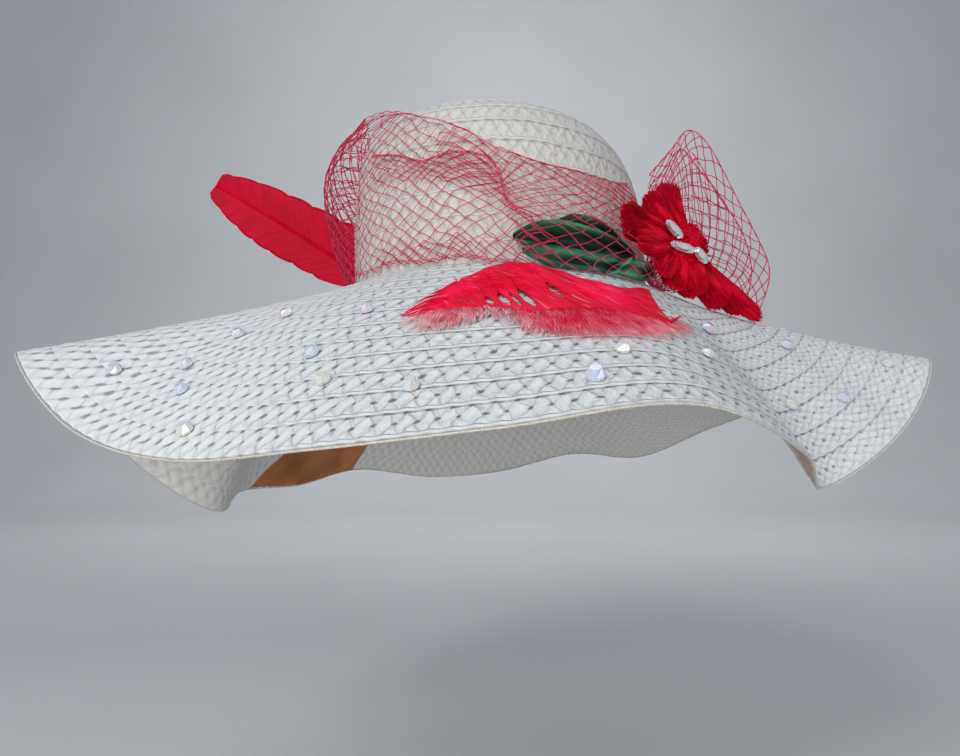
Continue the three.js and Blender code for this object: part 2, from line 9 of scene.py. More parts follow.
import bpy
import numpy as np
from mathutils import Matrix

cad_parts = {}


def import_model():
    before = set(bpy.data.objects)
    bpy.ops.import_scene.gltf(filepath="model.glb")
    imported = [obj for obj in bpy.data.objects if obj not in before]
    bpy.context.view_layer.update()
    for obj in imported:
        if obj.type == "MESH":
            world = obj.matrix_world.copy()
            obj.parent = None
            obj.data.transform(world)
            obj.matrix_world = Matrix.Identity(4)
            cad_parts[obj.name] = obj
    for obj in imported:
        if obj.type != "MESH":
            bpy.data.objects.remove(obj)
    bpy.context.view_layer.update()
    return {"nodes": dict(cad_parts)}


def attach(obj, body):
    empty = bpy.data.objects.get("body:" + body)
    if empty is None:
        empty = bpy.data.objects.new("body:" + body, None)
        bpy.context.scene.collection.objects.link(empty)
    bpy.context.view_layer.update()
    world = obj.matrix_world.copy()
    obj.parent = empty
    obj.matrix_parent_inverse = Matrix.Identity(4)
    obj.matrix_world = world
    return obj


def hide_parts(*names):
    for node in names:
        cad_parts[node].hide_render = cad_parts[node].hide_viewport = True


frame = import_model()

METRES = 0.001
RANDOM = np.random.default_rng(11)

# The straw body's driving dimensions.
HEAD_HALF_WIDTH = 83.0
HEAD_HALF_DEPTH = 99.0
CROWN_HEIGHT = 97.0
CROWN_ROUNDNESS = 4.0
CROWN_LEAN = -8.0
CROWN_HEM = 3.0
BRIM_GAP = 0.35
SLOPE_POWER = 0.8
PROFILE_STEPS = 24
TRIM_CLEARANCE = 0.55

# The brim's waves, from azimuth -180 in steps of 15: slope at the crown, slope at the edge, length.
WAVE_STEP = 15.0
WAVES = np.array([
    (18, 35, 166), (17, 18, 164), (18, 14, 161), (20, 38, 157), (21, 47, 154), (23, 44, 150),
    (24, 39, 147), (25, 33, 145), (24, 48, 143), (24, 65, 141), (23, 40, 141), (23, 12, 142),
    (23, 61, 144), (24, 52, 146), (25, 22, 149), (27, 26, 152), (28, 42, 155), (29, 39, 156),
    (29, 51, 157), (28, 54, 160), (26, 48, 164), (24, 57, 168), (21, 61, 169), (19, 74, 168),
], float)


def smooth_rows(rows, place, closed=False):
    """Columns of evenly spaced rows at a place between them, on a smooth curve."""
    place = np.asarray(place, float)
    count = len(rows)
    index = np.floor(place).astype(int)
    t = (place - index)[..., None]

    def at(offset):
        i = index + offset
        return rows[i % count] if closed else rows[np.clip(i, 0, count - 1)]

    slope_start = (at(1) - at(-1)) / 2
    slope_end = (at(2) - at(0)) / 2
    a = 2 * (at(0) - at(1)) + slope_start + slope_end
    b = 3 * (at(1) - at(0)) - 2 * slope_start - slope_end
    return np.moveaxis(((a * t + b) * t + slope_start) * t + at(0), -1, 0)


def rows_at(rows, share):
    """The same at a share of the way from the first row to the last."""
    return smooth_rows(rows, np.clip(share, 0, 1) * (len(rows) - 1))


def column_at(table, place, column):
    """A table's column between its rows. Its first column holds the places."""
    return np.interp(place, table[:, 0], table[:, column])


def mix(a, b, t):
    return a + (b - a) * t


def unit(vectors):
    return vectors / np.maximum(np.linalg.norm(vectors, axis=-1, keepdims=True), 1e-9)


def as_floats(*values):
    """Arrays of floats, all of one shape."""
    return np.broadcast_arrays(*(np.asarray(value, float) for value in values))


def on_brim(azimuth, share, height):
    """Points on the brim, at a share of its length and a height over its upper side."""
    azimuth, share, height = as_floats(azimuth, share, height)
    place = np.mod(azimuth + 180.0, 360.0) / WAVE_STEP
    root, edge, length = smooth_rows(WAVES, place, closed=True)
    root, edge = np.radians(root), np.radians(edge)
    reach = np.zeros_like(share)
    drop = np.zeros_like(share)
    step = share / PROFILE_STEPS
    for i in range(PROFILE_STEPS):
        slope = mix(root, edge, np.abs((i + 0.5) * step) ** SLOPE_POWER)
        reach += np.cos(slope) * step * length
        drop += np.sin(slope) * step * length
    slope = mix(root, edge, np.abs(share) ** SLOPE_POWER)
    out = BRIM_GAP + np.maximum(reach + height * np.sin(slope), 0)
    turn = np.radians(azimuth)
    outward = unit(np.stack([np.cos(turn) / HEAD_HALF_WIDTH, np.sin(turn) / HEAD_HALF_DEPTH], -1))
    return np.stack([
        HEAD_HALF_WIDTH * np.cos(turn) + outward[..., 0] * out,
        HEAD_HALF_DEPTH * np.sin(turn) + outward[..., 1] * out,
        height * np.cos(slope) - drop], -1)


def crown_share(z, standoff):
    """How wide the crown is at a height, as a share of its width at the brim."""
    rise = np.clip(np.maximum(z, 0) / (CROWN_HEIGHT + standoff), 0, 1)
    return (1 - rise ** CROWN_ROUNDNESS) ** (1 / CROWN_ROUNDNESS)


def lean_at(z):
    return CROWN_LEAN * (np.maximum(z, 0) / CROWN_HEIGHT) ** 2


def on_crown(azimuth, z, standoff):
    """Points beside the crown, at a height and a standoff."""
    azimuth, z, standoff = as_floats(azimuth, z, standoff)
    share = crown_share(z, standoff)
    turn = np.radians(azimuth)
    return np.stack([
        (HEAD_HALF_WIDTH + standoff) * share * np.cos(turn) + lean_at(z),
        (HEAD_HALF_DEPTH + standoff) * share * np.sin(turn),
        z], -1)


# The crown's profile, from the middle of its top down its wall to its hem, by length.
PROFILE_ANGLES = np.linspace(0.0, math.pi / 2, 400)
PROFILE_SHARE = np.append(np.sin(PROFILE_ANGLES) ** (2 / CROWN_ROUNDNESS), 1.0)
PROFILE_Z = np.append(
    CROWN_HEIGHT * np.maximum(np.cos(PROFILE_ANGLES), 0) ** (2 / CROWN_ROUNDNESS), -CROWN_HEM)
PROFILE_LENGTH = np.concatenate([[0.0], np.cumsum(np.hypot(
    np.diff(PROFILE_SHARE) * (HEAD_HALF_WIDTH + HEAD_HALF_DEPTH) / 2, np.diff(PROFILE_Z)))])


def on_crown_profile(azimuth, length, height):
    """Points on the crown, by the length down its profile and a height over its outer side."""
    azimuth, length, height = as_floats(azimuth, length, height)
    share = np.interp(length, PROFILE_LENGTH, PROFILE_SHARE)
    z = np.interp(length, PROFILE_LENGTH, PROFILE_Z)
    turn = np.radians(azimuth)
    x, y = share * np.cos(turn), share * np.sin(turn)
    normal = unit(np.stack([
        share ** 2 * x / HEAD_HALF_WIDTH, share ** 2 * y / HEAD_HALF_DEPTH,
        (np.maximum(z, 0) / CROWN_HEIGHT) ** 3 / CROWN_HEIGHT], -1))
    point = np.stack([HEAD_HALF_WIDTH * x + lean_at(z), HEAD_HALF_DEPTH * y, z], -1)
    return point + normal * height[..., None]


# Meshes. A part is points, four-cornered faces and, for most materials, a place for each corner.

def places(x, y, z):
    """Places on a braid, vane or fold, one for each point."""
    return np.stack(np.broadcast_arrays(x, y, z), -1).reshape(-1, 3)


def with_place(part, value):
    """A part whose corners all have the same place."""
    points, faces = part
    return points, faces, np.full((*faces.shape, 3), value)


def strips(centre, side, normal, width, thickness):
    """Closed strips of four sides along lines of points, with shape (strips, stations, 3)."""
    count, stations = centre.shape[:2]
    width = np.broadcast_to(width, (count, stations))[..., None] / 2
    thickness = np.broadcast_to(thickness, (count, stations))[..., None] / 2
    rings = np.stack([
        centre + side * width, centre + normal * thickness,
        centre - side * width, centre - normal * thickness], 2)
    index = np.arange(count * stations * 4).reshape(count, stations, 4)
    here, ahead = index[:, :-1], index[:, 1:]
    walls = np.stack([here, ahead, np.roll(ahead, -1, -1), np.roll(here, -1, -1)], -1)
    caps = np.concatenate([index[:, 0], index[:, -1, ::-1]])
    return rings.reshape(-1, 3), np.concatenate([walls.reshape(-1, 4), caps])


def slab(upper, lower, *place):
    """Closed thin solid between two grids of points, with shape (rows, columns, 3)."""
    rows, columns = upper.shape[:2]
    top = np.arange(rows * columns).reshape(rows, columns)

    def cells(grid):
        corners = [grid[:-1, :-1], grid[1:, :-1], grid[1:, 1:], grid[:-1, 1:]]
        return np.stack(corners, -1).reshape(-1, 4)

    rim = np.concatenate([top[0, :-1], top[:-1, -1], top[-1, :0:-1], top[:0:-1, 0]])
    under = rim + top.size
    walls = np.stack([rim, np.roll(rim, -1), np.roll(under, -1), under], -1)
    points = np.concatenate([upper.reshape(-1, 3), lower.reshape(-1, 3)])
    faces = np.concatenate([cells(top), cells(top + top.size)[:, ::-1], walls])
    return points, faces, np.tile(places(*place), (2, 1))[faces]


def hoop(rings):
    """Closed tube that runs all the way round, through rings with shape (rings, points, 3)."""
    count, sides = rings.shape[:2]
    index = np.arange(count * sides).reshape(count, sides)
    ahead = np.roll(index, -1, 0)
    walls = np.stack([index, ahead, np.roll(ahead, -1, 1), np.roll(index, -1, 1)], -1)
    return rings.reshape(-1, 3), walls.reshape(-1, 4)


def in_scene(name, data):
    """A new object with its data, put in the scene."""
    thing = bpy.data.objects.new(name, data)
    bpy.context.scene.collection.objects.link(thing)
    return thing


def make_piece(name, parts, materials, replaces, face_materials=None):
    """Object made of parts, in metres, with its body and the nodes that it stands for."""
    starts = np.cumsum([0, *(len(part[0]) for part in parts)])
    points = np.concatenate([part[0] for part in parts])
    faces = np.concatenate([part[1] + start for part, start in zip(parts, starts)])
    mesh = bpy.data.meshes.new(name)
    mesh.vertices.add(len(points))
    mesh.vertices.foreach_set("co", (points * METRES).astype(np.float32).ravel())
    mesh.loops.add(faces.size)
    mesh.loops.foreach_set("vertex_index", faces.astype(np.int32).ravel())
    mesh.polygons.add(len(faces))
    mesh.polygons.foreach_set("loop_start", np.arange(0, faces.size, 4, dtype=np.int32))
    if face_materials is not None:
        mesh.polygons.foreach_set("material_index", face_materials.astype(np.int32))
    mesh.polygons.foreach_set("use_smooth", np.ones(len(faces), bool))
    if len(parts[0]) > 2:
        corners = np.concatenate([part[2] for part in parts])
        layer = mesh.attributes.new("braid", "FLOAT_VECTOR", "CORNER")
        layer.data.foreach_set("vector", corners.astype(np.float32).ravel())
    mesh.update(calc_edges=True)
    mesh.validate()
    for material in materials:
        mesh.materials.append(material)
    piece = in_scene(name, mesh)
    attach(piece, "root")
    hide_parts(*replaces)


# Materials.

class Value:
    """An output in a shader. Arithmetic on it adds Math nodes."""

    def __init__(self, shader, socket):
        self.shader = shader
        self.socket = socket

    def __add__(self, other):
        return self.shader.math("ADD", self, other)

    def __sub__(self, other):
        return self.shader.math("SUBTRACT", self, other)

    def __rsub__(self, other):
        return self.shader.math("SUBTRACT", other, self)

    def __mul__(self, other):
        return self.shader.math("MULTIPLY", self, other)

    def __truediv__(self, other):
        return self.shader.math("DIVIDE", self, other)

    def __rtruediv__(self, other):
        return self.shader.math("DIVIDE", other, self)

    __radd__ = __add__
    __rmul__ = __mul__


class Shader:
    """A material with a few short ways to add and join nodes."""

    def __init__(self, name, specular=0.5, **inputs):
        self.material = bpy.data.materials.new(name)
        self.material.use_nodes = True
        self.nodes = self.material.node_tree.nodes
        self.links = self.material.node_tree.links
        self.surface = self.nodes["Principled BSDF"]
        self.set(self.surface, {"Specular IOR Level": specular, **inputs})

    def set(self, node, inputs):
        for key, value in inputs.items():
            if isinstance(value, Value):
                self.links.new(value.socket, node.inputs[key])
            else:
                node.inputs[key].default_value = value

    def add(self, kind, inputs=None, output=0, **settings):
        """A new node's output."""
        node = self.nodes.new("ShaderNode" + kind)
        for key, value in settings.items():
            setattr(node, key, value)
        self.set(node, inputs or {})
        return Value(self, node.outputs[output])

    def math(self, operation, *values, clamp=False):
        return self.add("Math", dict(enumerate(values)), operation=operation, use_clamp=clamp)

    def split(self, vector):
        """The three parts of a vector or colour."""
        node = self.nodes.new("ShaderNodeSeparateXYZ")
        self.set(node, {0: vector})
        return [Value(self, output) for output in node.outputs]

    def colours(self, factor, stops):
        """Colour ramp: pairs of a place and a colour."""
        node = self.nodes.new("ShaderNodeValToRGB")
        self.set(node, {0: factor})
        ramp = node.color_ramp
        ramp.elements[0].position, ramp.elements[0].color = stops[0][0], (*stops[0][1], 1)
        ramp.elements[1].position, ramp.elements[1].color = stops[-1][0], (*stops[-1][1], 1)
        for place, colour in stops[1:-1]:
            ramp.elements.new(place).color = (*colour, 1)
        return Value(self, node.outputs[0])

    def ramp(self, value, start, end):
        """0 at start, 1 at end and smooth between them. Start may lie above end."""
        low, high, first, last = (start, end, 0.0, 1.0) if start < end else (end, start, 1.0, 0.0)
        return self.add("MapRange", {0: value, 1: low, 2: high, 3: first, 4: last},
                        interpolation_type="SMOOTHSTEP")

    def swap(self, chosen, a, b):
        """a where chosen is 0 and b where it is 1."""
        return a + chosen * (b - a)

    def blend(self, factor, a, b):
        """Colour a where the factor is 0 and b where it is 1."""
        a, b = (colour if isinstance(colour, Value) else (*colour, 1) for colour in (a, b))
        return self.add("Mix", {0: factor, 6: a, 7: b}, 2, data_type="RGBA")

    def noise(self, vector, scale, detail=3.0, roughness=0.55):
        return self.add("TexNoise", {
            "Vector": vector, "Scale": scale, "Detail": detail, "Roughness": roughness})

    def position(self):
        """Place on the object, in millimetres."""
        return self.scaled(self.add("TexCoord", output="Object"), (1 / METRES,) * 3)

    def lay(self):
        """Place on the braid, vane or fold, which the mesh carries."""
        return self.add("Attribute", output="Vector", attribute_name="braid")

    def scaled(self, vector, scale, turn=(0, 0, 0)):
        return self.add("Mapping", {"Vector": vector, "Scale": scale, "Rotation": turn})

    def vector(self, operation, a, b, output=0):
        return self.add("VectorMath", {0: a, 1: b}, output, operation=operation)

    def finish(self, colour, height=None, distance=1.0, strength=1.0):
        """Gives the surface its colour and its bump, with a distance in millimetres."""
        self.set(self.surface, {"Base Color": colour})
        if height is not None:
            self.set(self.surface, {"Normal": self.add("Bump", {
                "Height": height, "Distance": distance * METRES, "Strength": strength})})
        return self.material


def linear(red, green, blue):
    """Colour written as 0 to 255 on a screen, as the linear colour that a shader takes."""
    def channel(value):
        value /= 255
        return value / 12.92 if value <= 0.04045 else ((value + 0.055) / 1.055) ** 2.4
    return channel(red), channel(green), channel(blue)


# Straw braid. A share across a braid is 0 at the seam that it is sewn under and 1 at its free edge.
BRIM_BRAIDS = 12
BRIM_MEAN_LENGTH = 152.0
BRAID_WIDTH = BRIM_MEAN_LENGTH / BRIM_BRAIDS
HOLE_PITCH = 7.3
# Stretches along X over which the corded edges fade in and out, the painted shade in the grooves
# beside them gets thinner, the plait gets finer, its slits smaller and their painted shade fainter,
# and the braid is pulled out.
SEAM_FADE = (-105.0, -25.0)
SEAM_END = (110.0, 190.0)
THINNER = (60.0, 115.0)
FINER = (70.0, 115.0)
SMALLER = (80.0, 160.0)
FAINTER = (80.0, 180.0)
PULLED = (-40.0, -125.0)
# The painted shade in the groove beside a corded edge, and the edge itself, greyed by painted shade.
GROOVE_PAINTED_SHADE = linear(104, 104, 94)
CORD_SHADED_WHITE = linear(206, 209, 209)
# Share across the braid of the slits at its seam and along its middle, and of its corded edge.
SEAM_SLIT = 0.055
MIDDLE_SLIT = 0.50
CORD_START = 0.865


class Plait:
    """The plait of a braid, worked out in a shader from the place on the braid.

    The strands cross at a slant, over and under in turn, and leave a slit at every crossing's
    corner. The braid's outer edge is a smooth cord. height is in millimetres. around counts slits
    along the braid and share goes across it. The other values go from 0 to 1.
    """

    def __init__(self, shader, width, slit_length, slit_width, slit_depth=0.5):
        place = shader.lay()
        jitter = shader.split(shader.add("TexNoise", {
            "Vector": shader.scaled(place, (0.8, 2.6, 5.3)), "Scale": 1.0, "Detail": 1.0}, "Color"))
        self.around, self.share, _ = shader.split(place)
        along = self.around + 0.5 * jitter[0]
        across = self.share - 0.11 + 0.22 * jitter[1]

        # Where the braid is pulled out along X its slits are longer and its weave flatter.
        position = shader.position()
        x = shader.split(position)[0]
        self.shown = shader.ramp(x, *SEAM_FADE) * (1.0 - 0.6 * shader.ramp(x, *SEAM_END))
        self.pulled = shader.ramp(x, *PULLED)
        level = shader.scaled(position, (1, 1, 0))
        out_x, out_y, _ = shader.split(shader.vector("NORMALIZE", level, (0, 0, 0)))
        flat_x = 2 / slit_length / (1.0 + 1.1 * self.pulled)
        flat_y = 2 / slit_width / (1.0 + 0.3 * self.pulled)

        def from_slit(shift, middle):
            """Distance from the nearest slit of a row, as a share of the slit's size."""
            near = shader.math("FRACT", along + shift) - 0.5
            beside = near * HOLE_PITCH
            out = (across - middle - 0.06 * near) * width
            slit_x = (out * out_x - beside * out_y) * flat_x
            slit_y = (out * out_y + beside * out_x) * flat_y
            return shader.math("SQRT", slit_x * slit_x + slit_y * slit_y)

        nearest = shader.math("MINIMUM", from_slit(0.0, SEAM_SLIT), from_slit(0.5, MIDDLE_SLIT))
        size = 0.15 + 1.8 * jitter[2] + 0.45 * shader.ramp(x, *SMALLER)
        self.on_cord = self.shown * shader.ramp(self.share, CORD_START, CORD_START + 0.03)
        off_cord = 1.0 - self.on_cord
        self.slit = off_cord * shader.ramp(nearest * size, 1.35, 0.4)

        right = shader.ramp(x, *FINER)
        slant = (across - MIDDLE_SLIT) * (1.0 + 2.0 * right)
        p, q = along + slant, along - slant
        cell = shader.math("FLOOR", p) + shader.math("FLOOR", q)
        over = 2.0 * shader.math("FRACT", 0.5 * cell)
        side, lengthwise = shader.swap(over, p, q), shader.swap(over, q, p)

        def bulge(value):
            middle = 2.0 * shader.math("FRACT", value) - 1.0
            return 1.0 - middle * middle

        self.strand = shader.math("POWER", bulge(side), 1.4) * (0.4 + 0.6 * bulge(lengthwise))
        self.creases = shader.noise(shader.add("CombineXYZ", {
            0: 6.5 * side, 1: 1.3 * lengthwise, 2: 3.7 * cell}), 1.0, 4.0, 0.62)
        twist = shader.noise(shader.scaled(place, (4.0, 9.0, 3.0), (0, 0, 0.5)), 1.0, 2.0)
        weave = off_cord * (self.creases + 0.6 * self.strand)
        weave = weave * (1.0 - 0.45 * self.pulled) * (1.0 - 0.35 * right)
        self.height = weave + 0.5 * self.on_cord * twist - slit_depth * self.slit


def straw_upper(name, width, light, slit_shade, slit_depth=0.5, slits=1.0, seam_shade=0.7, relief=0.85,
                shade=0.62, risen=None):
    """Upper side of the straw.

    slits and seams say how dark the painted shade in the slits and in the grooves beside the cords
    is, shade how dark the painted shade in the hollows of the weave is, relief how strong the bump is,
    and risen between what heights the painted shade of the grooves comes in.
    """
    shader = Shader(name, 0.3, Roughness=0.6)
    plait = Plait(shader, width, 2.1, 1.6, slit_depth)
    x, _, z = shader.split(shader.position())
    # The weave's hollows and its strands' edges are painted darker, towards the dark stop: painted
    # shade.
    tone = 0.6 * plait.creases + 0.25 * plait.strand + 0.06 * plait.pulled
    dark = tuple(shade * value for value in light)
    pale = tuple((0.72 + 0.28 * shade) * value for value in light)
    colour = shader.colours(tone + 0.05 * shader.ramp(x, *FINER), [
        (0.28, dark), (0.4, pale), (0.56, light)])
    # The corded edge is painted a greyer white than the plait's lightest, as painted shade that damps
    # the light its raised top catches.
    colour = shader.blend(0.7 * plait.on_cord, colour, CORD_SHADED_WHITE)
    slit_shade_strength = slits * (1.0 - 0.5 * shader.ramp(x, *FAINTER)) * (1.0 - 0.3 * plait.pulled)
    # The slits are painted grey: painted shade in the recess under each slit.
    colour = shader.blend(plait.slit * slit_shade_strength, colour, slit_shade)
    shown = plait.shown if risen is None else shader.ramp(z, *risen)
    # The painted shade in the groove beside a cord is darkest at the slits that lie in it, and thin on
    # the right.
    to_slit = shader.math("ABSOLUTE", shader.math("FRACT", plait.around) - 0.5)
    pinched = shader.ramp(to_slit, 0.32, 0.1)
    depth = (0.1 + 0.05 * pinched) * (1.0 - 0.55 * shader.ramp(x, *THINNER))
    # The groove beside each cord is painted grey: painted shade.
    groove_shade = seam_shade * (0.75 + 0.25 * pinched) * shader.ramp(plait.share / depth, 1.0, 0.7)
    groove_shade = groove_shade * shown * (0.65 + 0.35 * shader.ramp(plait.creases, 0.3, 0.55))
    return shader.finish(shader.blend(groove_shade, colour, GROOVE_PAINTED_SHADE), plait.height, 1.0, relief)


# Stretches of the underside painted warm brown, as painted shade in its folds: azimuth and share of
# each one's middle, radius, strength, and the straight lines that end it, each with a point on it and
# the direction into the stretch.
WARM_SHADE_PATCHES = [
    (135, 0.84, 56, 1.0, [((-154.5, 115.5, 0.0), (-0.316, 0.949, 0.0)),
                          ((-104.9, 174.7, 0.0), (-0.631, -0.775, 0.0))]),
    (-37, 0.97, 34, 0.75, []), (-52, 0.97, 24, 0.5, [])]
WARM_SHADE_RAGGED = 14.0


def straw_lower():
    shader = Shader("straw_lower", 0.25, Roughness=0.75)
    plait = Plait(shader, BRAID_WIDTH, 2.0, 1.8)
    # The underside's hollows are painted darker and its slits greyer: painted shade.
    colour = shader.colours(0.5 * plait.creases + 0.4 * plait.strand, [
        (0.2, linear(208, 204, 198)), (0.6, linear(226, 224, 220))])
    colour = shader.blend(0.25 * plait.slit, colour, linear(170, 166, 158))
    place = shader.position()
    in_warm_shade = 0.0
    for azimuth, share, radius, strength, ends in WARM_SHADE_PATCHES:
        away = shader.vector("DISTANCE", place, tuple(on_brim(azimuth, share, 0)), "Value")
        away = away + WARM_SHADE_RAGGED * shader.noise(place, 0.09, 2.0)
        near = strength * shader.math("DIVIDE", radius + WARM_SHADE_RAGGED - away, 5.0, clamp=True)
        for point, inside in ends:
            offset = shader.vector("SUBTRACT", place, point)
            behind = shader.vector("DOT_PRODUCT", offset, inside, "Value")
            near = near * shader.ramp(behind, -0.8, 0.8)
        # Warm brown painted shade, with the bump flattened where it lies.
        warm_shade = shader.colours(shader.noise(place, 0.03, 2.0), [
            (0.35, linear(150, 88, 50)), (0.65, linear(190, 122, 74))])
        colour = shader.blend(near, colour, warm_shade)
        in_warm_shade = shader.math("MAXIMUM", near, in_warm_shade)
    return shader.finish(colour, plait.height * (0.34 - 0.3 * in_warm_shade))


def thread(name, dark, light, roughness, grain):
    """Fine yarn or cord, with twisted fibres by object place."""
    shader = Shader(name, Roughness=roughness)
    shader.set(shader.surface, {"Sheen Weight": 0.2, "Sheen Tint": (*light, 1)})
    tone = shader.noise(shader.position(), grain)
    return shader.finish(shader.colours(tone, [(0.35, dark), (0.65, light)]), tone, 0.08, 0.6)


def feather_vane(name, dark, middle, light, depth=0.5, painted_highlight=0.0):
    """Barbs laid side by side. The place on the vane is across its barbs, then along them.

    depth is the barbs' height in millimetres. gleam says how strongly a few barbs are painted pale
    pink, as painted highlight streaks.
    """
    shader = Shader(name, 0.06, Roughness=0.45)
    lay = shader.lay()
    fine = shader.noise(shader.scaled(lay, (2.6, 0.12, 1.0)), 1.0, 3.0, 0.6)
    locks = shader.noise(shader.scaled(lay, (0.45, 0.05, 1.0)), 1.0, 2.0)
    highlight_streaks = shader.noise(shader.scaled(lay, (0.9, 0.05, 1.0), (0, 0, 0.1)), 1.0, 1.0)
    tone = 0.2 * fine + 0.45 * locks + 0.35 * shader.noise(shader.position(), 0.06, 2.0)
    colour = shader.colours(tone, [(0.38, dark), (0.5, middle), (0.62, light)])
    # A few barbs are painted pale pink along their length: painted highlight.
    colour = shader.blend(painted_highlight * shader.ramp(highlight_streaks, 0.66, 0.74), colour, linear(255, 150, 170))
    return shader.finish(colour, locks + 0.6 * fine, depth, 0.7)


def down_fluff():
    """Down that is red at its root and pales to pinkish white at its tips."""
    shader = Shader("pink_down", 0.1, Roughness=0.8)
    tone = shader.split(shader.lay())[2] + 0.7 * shader.noise(shader.position(), 0.16, 2.0) - 0.35
    return shader.finish(shader.colours(tone, [
        (0.15, linear(222, 24, 66)), (0.45, linear(234, 84, 112)), (0.75, linear(240, 148, 160)),
        (1.0, linear(242, 206, 206))]))


def satin():
    """Satin with painted highlight on its raised folds and painted shade in its hollows. The place's
    third part is how raised it is, with its leaf's painted shade.
    """
    shader = Shader("green_satin", 0.45, Roughness=0.36)
    place = shader.position()
    weave = shader.noise(shader.scaled(place, (0.5, 0.5, 5.0)), 1.0, 2.0)
    broad = shader.noise(place, 0.2)
    # Raised folds are painted lighter and hollows darker: painted highlight and shade.
    colour = shader.colours(0.75 * shader.split(shader.lay())[2] + 0.35 * broad, [
        (0.22, linear(8, 34, 26)), (0.5, linear(22, 82, 60)), (0.72, linear(44, 126, 92)),
        (0.92, linear(72, 160, 120))])
    return shader.finish(colour, weave + broad, 0.3, 0.5)


# How a facet's direction is turned into a place among its stone's painted hues.
FACET_TURN = (3.1, 2.3, 4.7)


def cut_glass(name, hues, metallic):
    """Coated glass stone: each facet is painted a colour by the way it faces, as painted reflection."""
    shader = Shader(name, 0.9, Roughness=0.04, Metallic=metallic)
    shader.set(shader.surface, {"Coat Weight": 1.0, "Coat Roughness": 0.02})
    facing = shader.add("NewGeometry", output="True Normal")
    turn = shader.math("FRACT", shader.vector("DOT_PRODUCT", facing, FACET_TURN, "Value"))
    steps = [(i / (len(hues) - 1), hue) for i, hue in enumerate(hues)]
    cloudy = shader.noise(shader.position(), 0.9, 1.0)
    return shader.finish(shader.blend(
        0.9 * cloudy, shader.colours(turn, steps), linear(238, 240, 242)))


# Each straw's last colour is the painted shade of its slits.
STRAW_UPPER = straw_upper("straw_brim", BRAID_WIDTH, linear(224, 226, 228), linear(118, 119, 114))
# The crown's straw is painted a little darker than the brim's: painted shade.
STRAW_CROWN = straw_upper(
    "straw_crown", 12.3, linear(216, 212, 206), linear(160, 156, 146), slit_depth=0.25, slits=0.25,
    seam_shade=0.55, relief=0.8, shade=0.74, risen=(30.0, 88.0))
STRAW_LOWER = straw_lower()
CRIMSON = thread("crimson_net", linear(186, 12, 60), linear(226, 34, 94), 0.45, 2.2)
TAN_CORD = thread("edge_thread", linear(182, 172, 154), linear(218, 214, 204), 0.7, 1.6)
RED_VANE = feather_vane(
    "red_vane", linear(196, 0, 36), linear(234, 4, 56), linear(252, 30, 86), 0.5, 0.7)
DEEP_VANE = feather_vane(
    "deep_red_vane", linear(176, 0, 36), linear(192, 0, 42), linear(204, 6, 50), 0.075)
TUFT_VANE = feather_vane(
    "tuft_red", linear(150, 0, 24), linear(196, 0, 36), linear(232, 12, 54), 0.4)
PINK_DOWN = down_fluff()
GREEN_SATIN = satin()


# Meshes of the straw. A section's points are shares across a braid and heights.
STATIONS_PER_HOLE = 5
UPPER_SECTION = [
    (-0.06, -0.9), (0.0, -0.56), (0.06, -0.42), (0.16, -0.34), (0.28, -0.3), (0.4, -0.36), (0.5, -0.42),
    (0.62, -0.32), (0.74, -0.26), (0.85, -0.34), (0.9, -0.34), (0.925, -0.16), (0.96, -0.1),
    (0.99, -0.24)]
LOWER_SECTION = [(0.995, -1.5), (0.965, -1.62), (0.75, -1.76), (0.25, -1.78), (0.04, -1.68),
                 (-0.02, -1.5), (-0.055, -1.2)]
# Heights of the plait and of its two edges where the corded edge fades, and how much of the cord
# is left there, first on the left.
PLAIT_LEVEL = -0.34
EDGE_LEVEL = -0.52
CORD_LEFT = (0.15, 0.45)
PUFF_HEIGHT = 0.22
SCALLOP = 0.32
BRIM_PIECES = 4
# Shares of the brim's length that its braids may reach.
BRIM_LIMITS = (0.001, 0.9985)
CROWN_BRAIDS = 13
# The crown's round button: radius, thickness, and the number of its place, which the braids of
# the crown go on from so that their weave differs from the brim's.
CROWN_BUTTON = 5.0
BUTTON_THICKNESS = 1.9
BUTTON_NUMBER = 39


def braid_rings(surface, start, width, holes, number):
    """One braid: its points, its faces, their places and which of them face down.

    surface takes an azimuth, a length across the braids and a height.
    """
    phase = np.arange(holes * STATIONS_PER_HOLE) / STATIONS_PER_HOLE
    azimuth = 90 + (phase + RANDOM.uniform(0, 1)) * 360 / holes
    swing = np.cos(2 * np.pi * phase)[:, None]
    angle = np.radians(azimuth)[:, None]
    drift = 0.25 * np.sin(9 * angle + start) + 0.12 * np.sin(23 * angle + 2 * start)
    shares, levels = np.array(UPPER_SECTION + LOWER_SECTION).T
    upper = np.arange(len(shares)) < len(UPPER_SECTION)
    on_plait = upper & (shares > 0.03) & (shares < 0.86)
    puffs = -PUFF_HEIGHT * swing * np.cos(2 * np.pi * shares) * on_plait
    x = surface(azimuth, start + 0.9 * width, 0.0)[:, :1]
    cord = np.interp(x, (*SEAM_FADE, *SEAM_END), (CORD_LEFT[0], 1, 1, CORD_LEFT[1]))
    at_edge = (shares < 0) | (shares > 0.95)
    flat = np.where(upper, np.where(at_edge, EDGE_LEVEL, PLAIT_LEVEL), levels)
    scallop = SCALLOP * swing * np.clip(shares * 2.5 - 1.5, 0, 1)
    across = width * shares + drift + scallop
    points, faces = hoop(surface(
        azimuth[:, None], start + across, mix(flat, levels, cord) + puffs))
    corners = places(phase[:, None], shares, float(number))[faces]
    corners[-len(shares):, 1:3, 0] += holes
    down = ~upper
    down[-1] = False
    return points, faces, corners, np.tile(down, len(phase))


def straw_piece(name, braids, replaces, upper):
    make_piece(name, braids, [upper, STRAW_LOWER], replaces,
               np.concatenate([braid[3] for braid in braids]))


